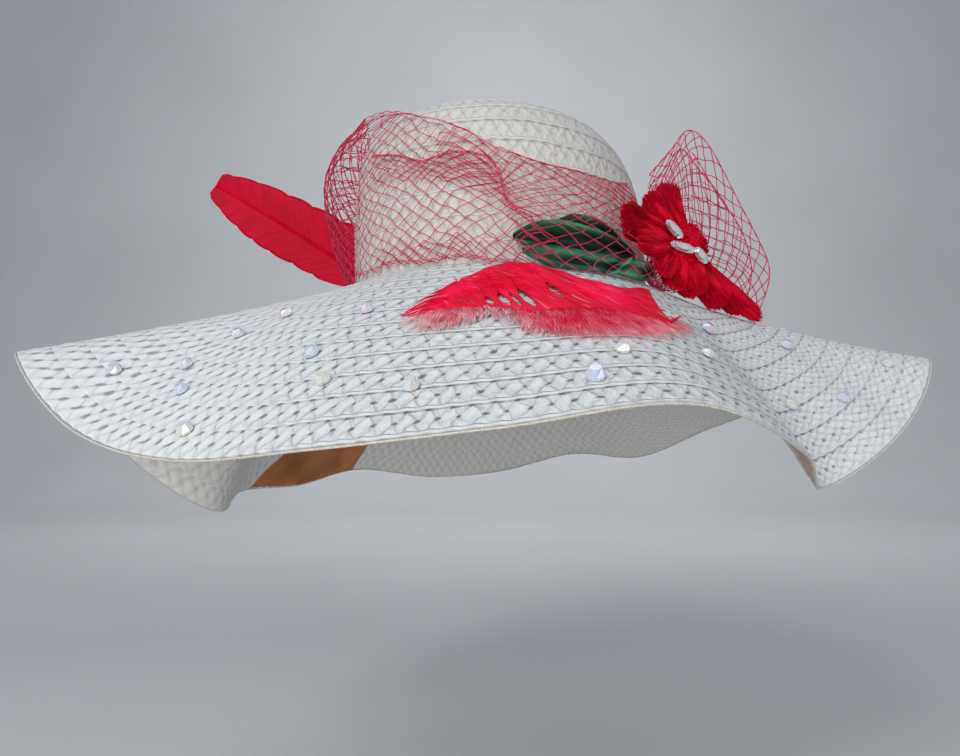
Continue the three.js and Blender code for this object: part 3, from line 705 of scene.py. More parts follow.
def perimeter(points):
    return np.linalg.norm(points - np.roll(points, 1, 0), axis=-1).sum()


def build_brim():
    def surface(azimuth, across, height):
        return on_brim(azimuth, np.clip(across / BRIM_MEAN_LENGTH, *BRIM_LIMITS), height)

    around = np.arange(-180, 180, 1.0)
    pieces = [[] for _ in range(BRIM_PIECES)]
    lengths = [perimeter(on_brim(around, (j + 0.5) / BRIM_BRAIDS, 0)) for j in range(BRIM_BRAIDS)]
    reached = np.cumsum(lengths) / np.sum(lengths)
    for j, length in enumerate(lengths):
        holes = int(round(length / HOLE_PITCH))
        braid = braid_rings(surface, j * BRAID_WIDTH, BRAID_WIDTH, holes, j)
        pieces[min(int((reached[j] - 1e-6) * BRIM_PIECES), BRIM_PIECES - 1)].append(braid)
    for number, braids in enumerate(pieces):
        straw_piece(f"brim_braid_{number + 1}", braids, ["brim"], STRAW_UPPER)


def build_crown():
    around = np.arange(-180, 180, 2.0)
    width = (PROFILE_LENGTH[-1] - 0.2 - CROWN_BUTTON) / CROWN_BRAIDS
    braids = []
    for j in range(CROWN_BRAIDS):
        start = CROWN_BUTTON + j * width
        length = perimeter(on_crown_profile(around, start + width / 2, 0))
        holes = max(int(round(length / HOLE_PITCH)), 6)
        braids.append(braid_rings(on_crown_profile, start, width, holes, BUTTON_NUMBER + 1 + j))
    straw_piece("crown_braid", braids, ["crown"], STRAW_CROWN)
    levels = np.linspace(0.4, CROWN_BUTTON + 0.8, 6)
    turns = np.arange(0, 360, 15.0)[:, None]
    upper = on_crown_profile(turns, levels, -0.3 - 0.12 * levels)
    lower = on_crown_profile(turns, levels[::-1], -BUTTON_THICKNESS)
    points, faces = hoop(np.concatenate([upper, lower], 1))
    corners = places(0.25, 0.3 + points[:, 0] / 40, float(BUTTON_NUMBER))[faces]
    make_piece("crown_button", [(points, faces, corners)], [STRAW_CROWN], ["crown"])


# Binding cord round the brim's edge: radius, share of it in height, room to the straw and the
# straw's thickness.
BINDING_RADIUS = 0.36
BINDING_HEIGHT = 1.35
BINDING_ROOM = 0.25
STRAW_THICKNESS = 2.2


def build_binding():
    azimuth = np.arange(0, 360, 0.5)
    upper = on_brim(azimuth, 1.0, 0.0)
    lower = on_brim(azimuth, 1.0, -STRAW_THICKNESS)
    along = unit(upper - on_brim(azimuth, 0.98, 0.0))
    up = unit(upper - lower)
    centre = (upper + lower) / 2 + along * (BINDING_RADIUS + BINDING_ROOM)
    sides = np.radians(np.arange(0, 360, 45))
    radius = BINDING_RADIUS * (1 + 0.1 * np.sin(azimuth * 4.0)[:, None] * np.cos(sides))
    rings = (centre[:, None] + along[:, None] * (radius * np.cos(sides))[..., None]
             + up[:, None] * (BINDING_HEIGHT * radius * np.sin(sides))[..., None])
    make_piece("edge_cord", [hoop(rings)], [TAN_CORD], ["edge_binding"])


# Netting.

STRAND = 0.39
HEAVY_STRAND = 0.5
PUFF_STRAND = 0.6
# How far knots stray, and the middles of strands between them, in meshes.
KNOT_DRIFT = 0.13
STRAND_DRIFT = 0.07
NET_STANDOFF = 1.1
NET_FALL = 1.3
# Height over its foot that the share up the wrap is counted in.
NET_RISE = 92.0
# Netting over the crown's front: azimuth, top, bottom and foot standoff of each column.
WRAP = np.array([
    (-150, 89, 1, 1.1), (-133, 86, 1, 1.1), (-116, 78, 1, 1.1), (-99, 64, 1, 2),
    (-82, 50, -6, 17), (-65, 46, -9, 23), (-48, 46, -8, 21), (-35.3, 50, -6, 17),
], float)
# The gathered fold across the netting: azimuth and height on the crown.
GATHER = np.array([
    (-150, 70), (-137, 63), (-115, 53), (-94, 53), (-91, 43), (-88, 28), (-84, 19), (-79, 14),
], float)
# Places where the net is pinched together: shares across and up the wrap, spread and strength.
PINCHES = [(0.30, 0.52, 0.085, 0.5), (0.515, 0.44, 0.07, 0.55), (0.53, 0.28, 0.07, 0.5)]


def net_strands(place, columns, rows, strand=STRAND, skip=None):
    """Diamond net of short closed strands. place takes shares across and up, and gives points."""
    knots = np.moveaxis(np.indices((columns + 1, rows + 1)), 0, -1)
    drift = RANDOM.normal(0, KNOT_DRIFT, knots.shape)
    drift[[0, -1]] = 0
    drift[:, [0, -1]] = 0
    drawn = knots + drift
    i, j = np.nonzero(np.indices((columns + 1, rows)).sum(0) % 2 == 0)
    starts, ends = [], []
    for step in (-1, 1):
        keep = (i + step >= 0) & (i + step <= columns)
        starts.append(drawn[i[keep], j[keep]])
        ends.append(drawn[i[keep] + step, j[keep] + 1])
    starts, ends = np.concatenate(starts), np.concatenate(ends)
    middle = (starts + ends) / 2 + RANDOM.normal(0, STRAND_DRIFT, starts.shape)
    lattice = np.stack([starts, middle, ends], 1)
    u, v = lattice[..., 0] / columns, lattice[..., 1] / rows
    if skip is not None:
        wanted = ~skip(u[:, 1], v[:, 1])
        u, v = u[wanted], v[wanted]
    small = 0.002
    centre = place(u, v)
    across = place(u + small, v) - place(u - small, v)
    up = place(u, v + small) - place(u, v - small)
    normal = unit(np.cross(across, up))
    side = unit(np.cross(normal, unit(np.gradient(centre, axis=1))))
    return strips(centre, side, normal, strand, strand)


def line_strand(points, strand):
    """One closed strand along a line of points."""
    direction = unit(np.gradient(points[None], axis=1))
    side = unit(np.cross((0.0, 0.0, 1.0), direction))
    return strips(points[None], side, unit(np.cross(direction, side)), strand, strand)


def pinch(u, v):
    for across, up, spread, strength in PINCHES:
        away = ((u - across) / spread) ** 2 + ((v - up) / (2.2 * spread)) ** 2
        near = strength * np.exp(-away)
        u, v = u + (across - u) * near, v + (up - v) * near
    return u, v


def wrap_place(u, v, height=0.45):
    """Place on the netting at a share across it, and up it as a share of the net's rise."""
    u = u + 0.012 * np.sin(9 * v + 6 * u) + 0.006 * np.sin(23 * v + 5 * u)
    v = v + 0.014 * np.sin(8 * u + 3 * v + 1) + 0.008 * np.sin(31 * u + 2)
    u, v = pinch(u, v)
    azimuth, top, bottom, foot = rows_at(WRAP, u)
    z = np.minimum(bottom + v * NET_RISE, top)
    up = np.clip((z - bottom) / (top - bottom), 0, 1)
    shoulder = 1.6 * (np.maximum(z, 0) / CROWN_HEIGHT) ** 3
    ripple = 0.35 * np.sin(u * 41) * np.sin(v * 17)
    standoff = mix(foot, NET_STANDOFF, up ** NET_FALL) + shoulder
    return on_crown(azimuth, z, standoff + height + ripple)


def wrap_top(u):
    """Share up the net's rise where its upper edge lies."""
    _, top, bottom, _ = rows_at(WRAP, u)
    return (top - bottom) / NET_RISE


def gather_top(u):
    """Share up the net's rise where its gathered fold lies."""
    azimuth, _, bottom, _ = rows_at(WRAP, u)
    return (np.interp(azimuth, GATHER[:, 0], GATHER[:, 1], right=8) - bottom) / NET_RISE


def rolled_edge(line, count, radius, turns, strand=STRAND):
    """Several strands wound round a line of points, as netting that is gathered into a fold."""
    t = np.linspace(0, 1, len(line))
    out = unit(line * np.array([1, 1, 0.1]))
    side = unit(np.cross(unit(np.gradient(line, axis=0)), out))
    parts = []
    for k in range(count):
        turn = 2 * np.pi * (k / count + turns * t)
        wound = line + radius * (np.cos(turn)[:, None] * side + 0.5 * np.sin(turn)[:, None] * out)
        parts.append(line_strand(wound, strand))
    return parts


def build_wrap():
    """The net, a layer that is turned back over it, and one that is pulled aslant to the leaves."""
    def turned_back(u, v):
        return wrap_place(u + 0.009 + 0.012 * np.sin(9 * v), v + 0.013, 1.0)

    def aslant(u, v):
        return wrap_place(u - 0.011 + 0.07 * (v - 0.5), v + 0.02 + 0.02 * np.sin(14 * u), 0.75)

    def above_edge(u, v):
        return v > wrap_top(u)

    def off_fold(u, v):
        below = gather_top(u) - v
        return (below < 0) | ((below > 0.17) & (v > 0.11)) | (u > 0.62) | (u < 0.1)

    def off_pleats(u, v):
        above = wrap_top(u) - v
        return (above < 0) | (above > 0.36 - 0.2 * np.abs(u - 0.6)) | (u < 0.36)

    parts = [net_strands(wrap_place, 38, 28, STRAND, above_edge),
             net_strands(turned_back, 42, 32, STRAND, off_fold),
             net_strands(aslant, 40, 34, STRAND, off_pleats)]
    steps = np.linspace(0.1, 0.6, 80)
    parts += rolled_edge(wrap_place(steps, gather_top(steps), 1.3), 3, 0.55, 8)
    edge = np.linspace(0, 1, 140)
    parts += rolled_edge(wrap_place(edge, wrap_top(edge), 0.6), 2, 0.3, 14, 0.7 * STRAND)
    foot = np.linspace(0, 0.56, 80)
    parts += rolled_edge(wrap_place(foot, 0 * foot + 0.02, 0.9), 2, 0.8, 11)
    make_piece("veil_wrap_net", parts, [CRIMSON], ["veil_wrap"])


# The loop on the left: how far out it reaches from its foot up, and where it starts and ends.
PUFF_REACH = np.array([(86,), (92,), (97,), (101,), (101,), (93,), (78,)], float)
PUFF_FRONT = -151.5
PUFF_BACK = -205.0
PUFF_SIDE_TOP = 74.0
PUFF_TOP = 107.0
PUFF_STANDOFF = 2.0
# Height of the netting that goes on from the loop to the wrap's upper edge.
BRIDGE_ARCH = 3.0


def puff_place(u, v, height=0.45):
    bulge = np.sin(np.pi * np.clip(u, 0, 1))
    z = mix(0.0, mix(PUFF_SIDE_TOP, PUFF_TOP, bulge), v)
    wall = crown_share(np.minimum(z, PUFF_SIDE_TOP), 0) + PUFF_STANDOFF / HEAD_HALF_WIDTH
    reach = rows_at(PUFF_REACH, v)[0]
    size = mix(wall, reach / HEAD_HALF_WIDTH, bulge) + height / HEAD_HALF_WIDTH
    turn = np.radians(mix(PUFF_FRONT, PUFF_BACK, u))
    return np.stack([
        HEAD_HALF_WIDTH * size * np.cos(turn) + lean_at(z) * (1 - bulge),
        HEAD_HALF_DEPTH * size * np.sin(turn), z], -1)


def bridge_place(u, v):
    edge = mix(0.03, 0.27, v)
    near = puff_place(0.42 + 0 * v, mix(0.7, 1.0, v))
    far = wrap_place(edge, wrap_top(edge), 0.8)
    arch = BRIDGE_ARCH * np.sin(np.pi * u) * (0.3 + 0.7 * v)
    return mix(near, far, u[..., None]) + arch[..., None] * np.array([-0.4, -0.3, 1.0])


def build_puff():
    def inner(u, v):
        return puff_place(u * 0.96 + 0.02, v * 0.97, -2.2 + 1.2 * np.sin(v * 9))

    parts = [net_strands(puff_place, 15, 24, PUFF_STRAND), net_strands(inner, 12, 19, HEAVY_STRAND),
             net_strands(bridge_place, 9, 6, 0.85 * STRAND)]
    steps = np.linspace(0, 1, 60)
    for height in (0.7, 1.0):
        parts += rolled_edge(bridge_place(steps, height + 0 * steps), 1, 0.35, 5)
    for share in (0.4, 0.55):
        line = puff_place(share + 0.03 * np.sin(steps * 7), steps, 0.2)
        parts += rolled_edge(line, 2, 0.5, 8, HEAVY_STRAND)
    make_piece("veil_puff_net", parts, [CRIMSON], ["veil_puff"])


# The fan on the right, and X and Z of its upper edge.
FAN_AZIMUTH = -21.5
FAN_DEPTH = -36.0
FAN_TIPS = np.array([
    (81, 62), (93, 76), (102, 86), (113, 77), (127, 52), (137, 30), (143, 8), (138, -12)], float)


def fan_place(u, v, depth=0.0, waves=2.0, ruffle=2.5, size=1.0):
    wall = on_crown(FAN_AZIMUTH, 4.0, 0.8)
    foot = on_brim(FAN_AZIMUTH, 0.03, TRIM_CLEARANCE + 0.2)
    tip_x, tip_z = rows_at(FAN_TIPS, u)
    x = mix(mix(wall[0], foot[0], u), tip_x, v * size)
    z = mix(mix(wall[2], foot[2], u), tip_z, v * size)
    y = mix(wall[1], FAN_DEPTH + depth, v) + ruffle * v * np.sin(2 * np.pi * waves * u)
    return np.stack([x, y - 0.45, z], -1)


def build_fan():
    def behind(u, v):
        return fan_place(mix(0.02, 0.6, u), v, 7.0, 3.0, 3.5, 0.9)

    def before(u, v):
        return fan_place(mix(0.35, 0.98, u), v, -6.0, 2.5, 3.0, 0.84)

    parts = [net_strands(fan_place, 32, 22, HEAVY_STRAND), net_strands(behind, 14, 16),
             net_strands(before, 18, 17)]
    edge = np.linspace(0, 1, 90)
    for layer in (fan_place, behind, before):
        parts += rolled_edge(layer(edge, np.ones_like(edge)), 2, 0.35, 12)
    make_piece("veil_fan_net", parts, [CRIMSON], ["veil_fan"])


# Feathers.

# The way that barbs on the brim's front face.
BARB_FACE = np.array([0.0, -0.35, 1.0])
FRONT = np.array([0.0, -1.0, 0.0])
LEFT_ROOT = (149.5, 14.0, 1.1)
LEFT_TIP = np.array([-187.0, 50.0, 87.0])
LEFT_BOW = -2.0
# Outline of the left feather: place along it, and its reach above and below its shaft.
LEFT_OUTLINE = np.array([
    (0, 2, 2), (0.1, 16, 8), (0.2, 24, 13), (0.32, 24.5, 17.5), (0.45, 23, 19), (0.6, 21, 20.5),
    (0.72, 19, 19.5), (0.84, 16.5, 16), (0.93, 13, 12), (0.98, 11, 9), (1, 8.5, 6)], float)
# Places of the notches along the left feather's upper and lower edge, their depth and their size.
LEFT_NOTCHES = ((0.22, 0.39, 0.54, 0.67, 0.83, 0.95), (0.2, 0.36, 0.47, 0.6, 0.7, 0.8, 0.92))
NOTCH_DEPTH = 0.07
NOTCH_SIZE = 0.022


def barbs(root, bend, tip, normal, width, thickness, stations, taper):
    """Flat pointed strips from root to tip past a bend, all with shape (barbs, 3)."""
    t = np.linspace(0, 1, stations)
    ahead = t[None, :, None]
    centre = ((1 - ahead) ** 2 * root[:, None] + 2 * ahead * (1 - ahead) * bend[:, None]
              + ahead ** 2 * tip[:, None])
    direction = unit(np.gradient(centre, axis=1))
    side = unit(np.cross(normal if normal.ndim == 1 else normal[:, None], direction))
    profile = np.maximum(1 - t ** (1 / max(1 - taper, 0.05)), 0.06)
    width = np.asarray(width).reshape(-1, 1) * profile
    return strips(centre, side, unit(np.cross(direction, side)), width, thickness)


def build_left_feather():
    start = on_crown(*LEFT_ROOT)
    run = LEFT_TIP - start
    up = unit(np.array([-unit(run)[2], 0, unit(run)[0]]))
    up = up if up[2] > 0 else -up

    def line(t):
        return start + run * t[..., None] - up * (LEFT_BOW * np.sin(np.pi * t))[..., None]

    at = np.linspace(0, 1, 240)[:, None]
    out = np.linspace(0, 1, 12)
    swept = 0.16 * (1 - at ** 2.5)
    edge = np.clip(at + swept, 0, 1)
    shaft = line(np.clip(at + swept * out, 0, 1))
    lift = np.sin(np.pi * 0.6 * out) + 0 * at
    parts = []
    for column, side, notches in ((1, 1.0, LEFT_NOTCHES[0]), (2, -1.0, LEFT_NOTCHES[1])):
        away = np.min(np.abs(edge[..., None] - np.array(notches)), -1)
        width = column_at(LEFT_OUTLINE, edge, column) * (1 - NOTCH_DEPTH * np.exp(-away / NOTCH_SIZE))
        width = (np.maximum(width, 0.4) * out)[..., None]
        upper = shaft + up * side * width + FRONT * (lift + 0.5)[..., None]
        points, faces, corners = slab(upper, upper - FRONT * 0.45, at * 190, width[..., 0], 2.0)
        order = slice(None, None, int(side))
        parts.append((points, faces[:, order], corners[:, order]))
    steps = np.linspace(0, 0.95, 40)
    rachis = line(steps)[None] + FRONT * 0.75
    size = mix(1.0, 0.35, steps)[None]
    side = unit(np.cross(FRONT, unit(np.gradient(rachis, axis=1))))
    parts.append(with_place(strips(
        rachis, side, np.broadcast_to(FRONT, side.shape), size, size), 0.0))
    quill = np.concatenate([np.full(len(part[1]), k == 2) for k, part in enumerate(parts)])
    make_piece("left_feather", parts, [DEEP_VANE, RED_VANE], ["feather_left"], quill)


# Outline of the front feather: azimuth, share of its high and low edge, lift and arch.
FRONT_OUTLINE = np.array([
    (-103.4, .45, .5, .6, .2), (-101.5, .38, .492, 1.2, .5), (-98.5, .325, .467, 2, 1),
    (-95, .255, .462, 3, 1.6), (-90, .165, .475, 3.2, 2), (-86, .15, .508, 3.4, 2.2),
    (-81.5, .18, .505, 3.4, 2.2), (-76, .28, .5, 3, 2), (-71, .345, .52, 3, 1.6),
    (-66, .335, .53, 3, 1.2), (-61, .3, .475, 3, .8), (-57, .28, .43, 2.5, .4)], float)
# Slits between its lower barbs: azimuth, half width, and share across from and to.
SLITS = [(-74.9, 0.22, 0.62, 0.84), (-79.5, 0.85, 0.28, 0.58), (-85.4, 0.78, 0.05, 0.42),
         (-87.2, 0.4, 0.06, 0.33), (-89.0, 0.75, 0.04, 0.32), (-91.3, 0.58, 0.03, 0.25)]
FRONT_SHAFT = 0.5
FRONT_RIGHT = -62.0
FRONT_LEFT = -98.0
COLUMNS_PER_DEGREE = 3.5
# Strands at its tip: share across from and to at their foot, and share and azimuth of the end.
TIP_STRANDS = [(0.0, 0.17, 0.0, -102.6), (0.19, 0.34, 0.2, -103.6), (0.36, 0.52, 0.42, -104.0),
               (0.53, 0.7, 0.62, -103.4), (0.71, 0.85, 0.84, -102.2), (0.86, 1.0, 1.0, -101.0)]
# Loose barbs over its middle, and the spur at its right end: azimuth, share across and height.
LOOSE_BARBS = 46
SPUR = [(-65.0, 0.02, 0.8), (-61.5, 0.05, 1.3), (-57.6, 0.1, 1.2)]


def front_place(azimuth, across, height=0.0):
    """Point on the front feather: across is 0 at its low edge and 1 at its high edge."""
    high, low, lift, arch = (column_at(FRONT_OUTLINE, azimuth, k) for k in range(1, 5))
    swell = arch * np.sin(np.pi * np.clip(across, 0, 1)) * np.clip(across * 1.7 - 0.5, 0, 1)
    rise = TRIM_CLEARANCE + lift * across ** 3 + swell + height
    return on_brim(azimuth, mix(low, high, across), rise)


def front_slab(azimuth, share, root, across):
    fold = 0.35 * np.sin(1.3 * root + 3 * across) * across
    swept = np.where(across > FRONT_SHAFT, 15.0, 4.0) * (across - FRONT_SHAFT)
    points, faces, corners = slab(
        front_place(azimuth, share, 0.75 + fold), front_place(azimuth, share, 0.3 + fold),
        (root + swept) * 2.4, 38 * across, 1.0)
    return points, faces[:, ::-1], corners[:, ::-1]


def build_front_feather():
    parts = []
    ends = [FRONT_RIGHT] + [slit[0] for slit in SLITS] + [FRONT_LEFT]
    across = np.linspace(0, 1, 38)[None] ** 1.15
    ragged_edge = RANDOM.uniform(0, 1, 200)
    right_end = np.interp(across, [0, 0.25, 0.5, 0.8, 1], [-2.5, -0.5, 1.5, 4.5, 7.3])
    for right, left in zip(ends[:-1], ends[1:]):
        columns = max(int((right - left) * COLUMNS_PER_DEGREE), 6)
        root = np.linspace(right, left, columns)[:, None] + 0 * across
        azimuth = root.copy()
        for cut, half, low, high in SLITS:
            opening = half * np.sin(np.pi * np.clip((across - low) / (high - low), 0, 1)) ** 0.7
            hand = np.where(root > cut, -1.0, 1.0)
            hand = np.where(root == cut, -1.0 if left == cut else 1.0, hand)
            azimuth -= hand * opening * np.exp(-np.abs(root - cut) / 0.9)
        azimuth += right_end * np.exp((root - FRONT_RIGHT) / 4.0)
        azimuth -= 5.0 * (across - 0.1) * np.clip((root - FRONT_LEFT) / 6, 0, 1)
        dip = 0.02 * np.interp(root, np.linspace(-106, -50, 200), ragged_edge)
        share = np.clip(across + dip * (1 - across), 0, 1)
        parts.append(front_slab(azimuth, share, root, across))
    along = np.linspace(0, 1, 14)[:, None]
    for low, high, tip_share, tip in TIP_STRANDS:
        middle = mix((low + high) / 2, tip_share, along ** 0.8)
        half = (high - low) / 2 * np.maximum(1 - along ** 1.6, 0.04) + 0.01
        part = np.linspace(-1, 1, 7)
        azimuth = mix(FRONT_LEFT + 0.6, tip, along) + 0 * part
        share = np.clip(middle + half * part, 0, 1)
        parts.append(front_slab(azimuth, share, azimuth, share))
    azimuth = RANDOM.uniform(-97, -66, LOOSE_BARBS)
    share = RANDOM.uniform(0.3, 0.95, LOOSE_BARBS)
    lines = ((azimuth, share, 0.7), (azimuth - 3, share + 0.02, 1.25),
             (azimuth - 6.5, np.minimum(share + 0.03, 1), 0.8))
    ways = [np.concatenate([front_place(*line), [front_place(*point)]])
            for line, point in zip(lines, SPUR)]
    width = np.append(RANDOM.uniform(0.25, 0.6, LOOSE_BARBS), 2.2)
    parts.append(with_place(barbs(*ways, BARB_FACE, width, 0.22, 9, 0.7), 3.0))
    shaft = front_place(np.linspace(-63.0, -98.0, 50), FRONT_SHAFT, 0.75)
    parts.append(with_place(line_strand(shaft, 0.5), 5.0))
    make_piece("front_feather", parts, [RED_VANE], ["feather_front"])


# Down under the front feather: azimuth, share of its lower edge, density and paleness.
DOWN = np.array([
    (-101.5, .54, .1, .7), (-99, .585, .8, .5), (-97, .61, 1, .35), (-93.5, .57, .8, .4),
    (-92, .545, .22, .6), (-88.5, .57, .2, .6), (-86.5, .64, 1, .2), (-82.5, .69, 1.4, .04),
    (-78.8, .715, 1.4, 0), (-73, .675, 1.1, .1), (-69, .61, .4, .35), (-65, .565, .3, .4),
    (-61, .49, .25, .45)], float)
DOWN_STRANDS = 2000
DOWN_STATIONS = 5


def build_down():
    count = DOWN_STRANDS
    steps = np.linspace(DOWN[0, 0], DOWN[-1, 0], 400)
    reached = np.cumsum(column_at(DOWN, steps, 2))
    azimuth = np.interp(RANDOM.uniform(0, reached[-1], count), reached, steps)
    edge = column_at(FRONT_OUTLINE, azimuth, 2)
    root_share = edge - RANDOM.uniform(-0.03, 0.04, count)
    end_share = mix(edge, column_at(DOWN, azimuth, 1), RANDOM.uniform(0.1, 1.04, count) ** 0.7)
    fan = RANDOM.normal(0, 1.3, count) + np.interp(azimuth, (-100, -80, -70, -62), (-1, 0, 2.2, 2.2))
    height = RANDOM.uniform(0.1, 1.3, count)
    root = on_brim(azimuth, root_share, TRIM_CLEARANCE + 0.2)
    middle = on_brim(
        azimuth + fan * 0.35, mix(root_share, end_share, 0.6), TRIM_CLEARANCE + height + 0.3)
    end = on_brim(azimuth + fan, end_share, TRIM_CLEARANCE + 0.3 * height)
    width = RANDOM.uniform(0.3, 0.7, count)
    points, faces = barbs(root, middle, end, BARB_FACE, width, 0.1, DOWN_STATIONS, 0.6)
    along = np.linspace(0, 1, DOWN_STATIONS)[None, :, None] ** 1.6
    tone = (along * RANDOM.uniform(0.45, 1.0, count)[:, None, None]
            + column_at(DOWN, azimuth, 3)[:, None, None])
    corners = places(0.0, 0.0, np.broadcast_to(tone, (count, DOWN_STATIONS, 4)))[faces]
    make_piece("down_fluff", [(points, faces, corners)], [PINK_DOWN], ["feather_down"])


TUFT_HEAD = np.array([91.6, -61.5, 14.0])
TUFT_HEAD_SIZE = np.array([14.0, 9.0, 15.0])
# The tuft's locks: place of the tip and width.
TUFT_LOCKS = np.array([
    (84, -57, 52, 7), (75, -64, 45, 7), (56, -88, 29, 6), (56, -89, 21, 6), (64, -87, 12, 6),
    (76, -79, -2, 6), (86, -74, -10, 8), (97, -70, -13, 8), (100, -57, 20, 5), (96, -57, 30, 5),
    (113, -61, -16.5, 8), (124, -57, -19, 6), (133, -56, -22, 5)], float)
LOCK_BARBS = 170
HEAD_BARBS = 500


def tuft_lock(x, y, z, width):
    """The body of one lock and its loose barbs."""
    run = np.array([x, y, z]) - TUFT_HEAD
    side = unit(np.cross(unit(run), FRONT))
    facing = unit(np.cross(side, unit(run)))

    def place(t, beside, out):
        return TUFT_HEAD + run * t[..., None] + side * beside[..., None] + facing * out[..., None]

    along = np.linspace(0, 1, 26)[:, None]
    across = np.linspace(-1, 1, 21)[None]
    t = 0.1 + 0.9 * along * (0.98 - 0.06 * RANDOM.uniform(0, 1, 21)[None] - 0.14 * across ** 2)
    spread = width * (0.45 + 0.55 * np.sin(np.pi * np.clip(along, 0, 0.62)) ** 0.8)
    beside = across * spread + 0.07 * np.sin(5 * along + x) * width
    swell = np.sqrt(np.maximum(1 - across ** 2, 0)) * np.sin(np.pi * np.clip(along * 0.8 + 0.15, 0, 1))
    clump = 0.16 * width * np.sin(6 * across + 4 * along + y) * swell
    body = slab(place(t, beside, 0.32 * width * swell + clump + 0.1),
                place(t, beside, -0.25 * width * swell - 0.1),
                across * width * 2, t * np.linalg.norm(run), x)
    share = RANDOM.uniform(-1, 1, LOCK_BARBS)
    start = RANDOM.uniform(0.25, 0.86, LOCK_BARBS)
    end = np.minimum(start + RANDOM.uniform(0.12, 0.3, LOCK_BARBS), 0.99 - 0.12 * share ** 2)
    out = 0.32 * width * np.sqrt(np.maximum(1 - share ** 2, 0)) + 0.3
    flare = np.clip(share * RANDOM.uniform(0.95, 1.08, LOCK_BARBS), -1.03, 1.03)
    root = place(start, share * width * 0.9, out * 0.8)
    middle = place(mix(start, end, 0.5), mix(share, flare, 0.5) * width, out + 0.8)
    tips = place(end, flare * width, out * RANDOM.uniform(0.0, 0.9, LOCK_BARBS))
    loose = RANDOM.uniform(0.25, 0.6, LOCK_BARBS)
    return [body, with_place(barbs(root, middle, tips, facing, loose, 0.12, 4, 0.6), y)]


def build_tuft():
    parts = []
    for row in TUFT_LOCKS:
        parts += tuft_lock(*row)
    ball = unit(RANDOM.normal(0, 1, (HEAD_BARBS, 3)))
    lean = unit(np.cross(ball, RANDOM.normal(0, 1, (HEAD_BARBS, 3))))
    spot = TUFT_HEAD + ball * TUFT_HEAD_SIZE * 0.7
    middle = TUFT_HEAD + ball * TUFT_HEAD_SIZE * 0.94 + lean * 1.5
    reach = RANDOM.uniform(0.84, 0.96, (HEAD_BARBS, 1))
    end = TUFT_HEAD + ball * TUFT_HEAD_SIZE * reach + lean * 4.5
    parts.append(with_place(barbs(spot, middle, end, lean[:, [1, 2, 0]], 1.5, 0.2, 5, 0.7), 9.0))
    turns = np.radians(np.arange(0, 360, 10))[:, None]
    lifts = np.radians(np.linspace(-88, 88, 17))
    core = np.stack(np.broadcast_arrays(
        np.cos(lifts) * np.cos(turns), np.cos(lifts) * np.sin(turns), np.sin(lifts)), -1)
    lump = 0.84 + 0.05 * np.sin(5 * turns + 3 * lifts)
    outer = TUFT_HEAD + core * TUFT_HEAD_SIZE * lump[..., None]
    inner = TUFT_HEAD + core[:, ::-1] * TUFT_HEAD_SIZE * 0.3
    points, faces = hoop(np.concatenate([outer, inner], 1))
    parts.append((points, faces, points[faces] * 0.6))
    make_piece("red_tuft", parts, [TUFT_VANE], ["feather_tuft"])


# Satin leaves: azimuth, standoff, bottom, top and arch of each row.
LEAVES = {
    "leaf_back": np.array([
        (-74, .4, 16, 18, .3), (-66, .5, 14, 24, 1), (-58, .6, 12, 24, 1.2), (-50, .5, 12, 22, 1),
        (-43, .4, 14, 17, .3)], float),
    "leaf_upper": np.array([
        (-86, 3.6, 9, 12, .3), (-80, 3.6, 5.5, 17, 1.6), (-72, 3.7, 4, 19, 2.4),
        (-63, 3.8, 3.5, 17.5, 2.6), (-54, 3.8, 4, 16.5, 2.4), (-46, 3.7, 5, 15, 1.6),
        (-39, 3.6, 8, 11, .3)], float),
    "leaf_lower": np.array([
        (-84, 11.5, 1, 4, .2), (-77, 12, -4.4, 5, 1.2), (-69, 13, -5.4, 4, 1.6),
        (-60, 13.5, -5.6, 2.6, 1.4), (-52, 13.5, -5.6, 3.4, 1.6), (-44, 13, -5.2, 4.5, 1.2),
        (-36, 12, 0, 3, .2)], float),
}
CLOTH = 0.5
LEAF_ROOM = 0.4
LEAF_PLEATS = 2.5
LEAF_SHADE = {"leaf_back": 0.05, "leaf_upper": 0.22, "leaf_lower": 0.34}
# Folds of each leaf: share across it, spread, height, and how far it swings along the leaf.
LEAF_FOLDS = {
    "leaf_back": [(0.86, 0.12, 0.8, 0.05), (0.4, 0.2, -0.5, 0.0)],
    "leaf_upper": [(0.9, 0.13, 1.1, 0.03), (0.5, 0.22, -0.9, 0.1), (0.1, 0.12, 0.8, 0.08)],
    "leaf_lower": [(0.8, 0.16, 0.9, -0.12), (0.48, 0.12, -0.6, 0.1), (0.2, 0.14, 0.7, 0.1)],
}
# The fold across the lower leaf where its end is turned over: share along it, and the height,
# place beside it and spread of its hollow, its ridge and its raised band, which are also painted
# darker, lighter and bright as painted shade and highlight.
TURNED_CORNER = 0.565
CORNER_FOLDS = [(-0.9, -0.055, 0.04), (1.0, 0.0, 0.014), (0.4, 0.11, 0.09)]


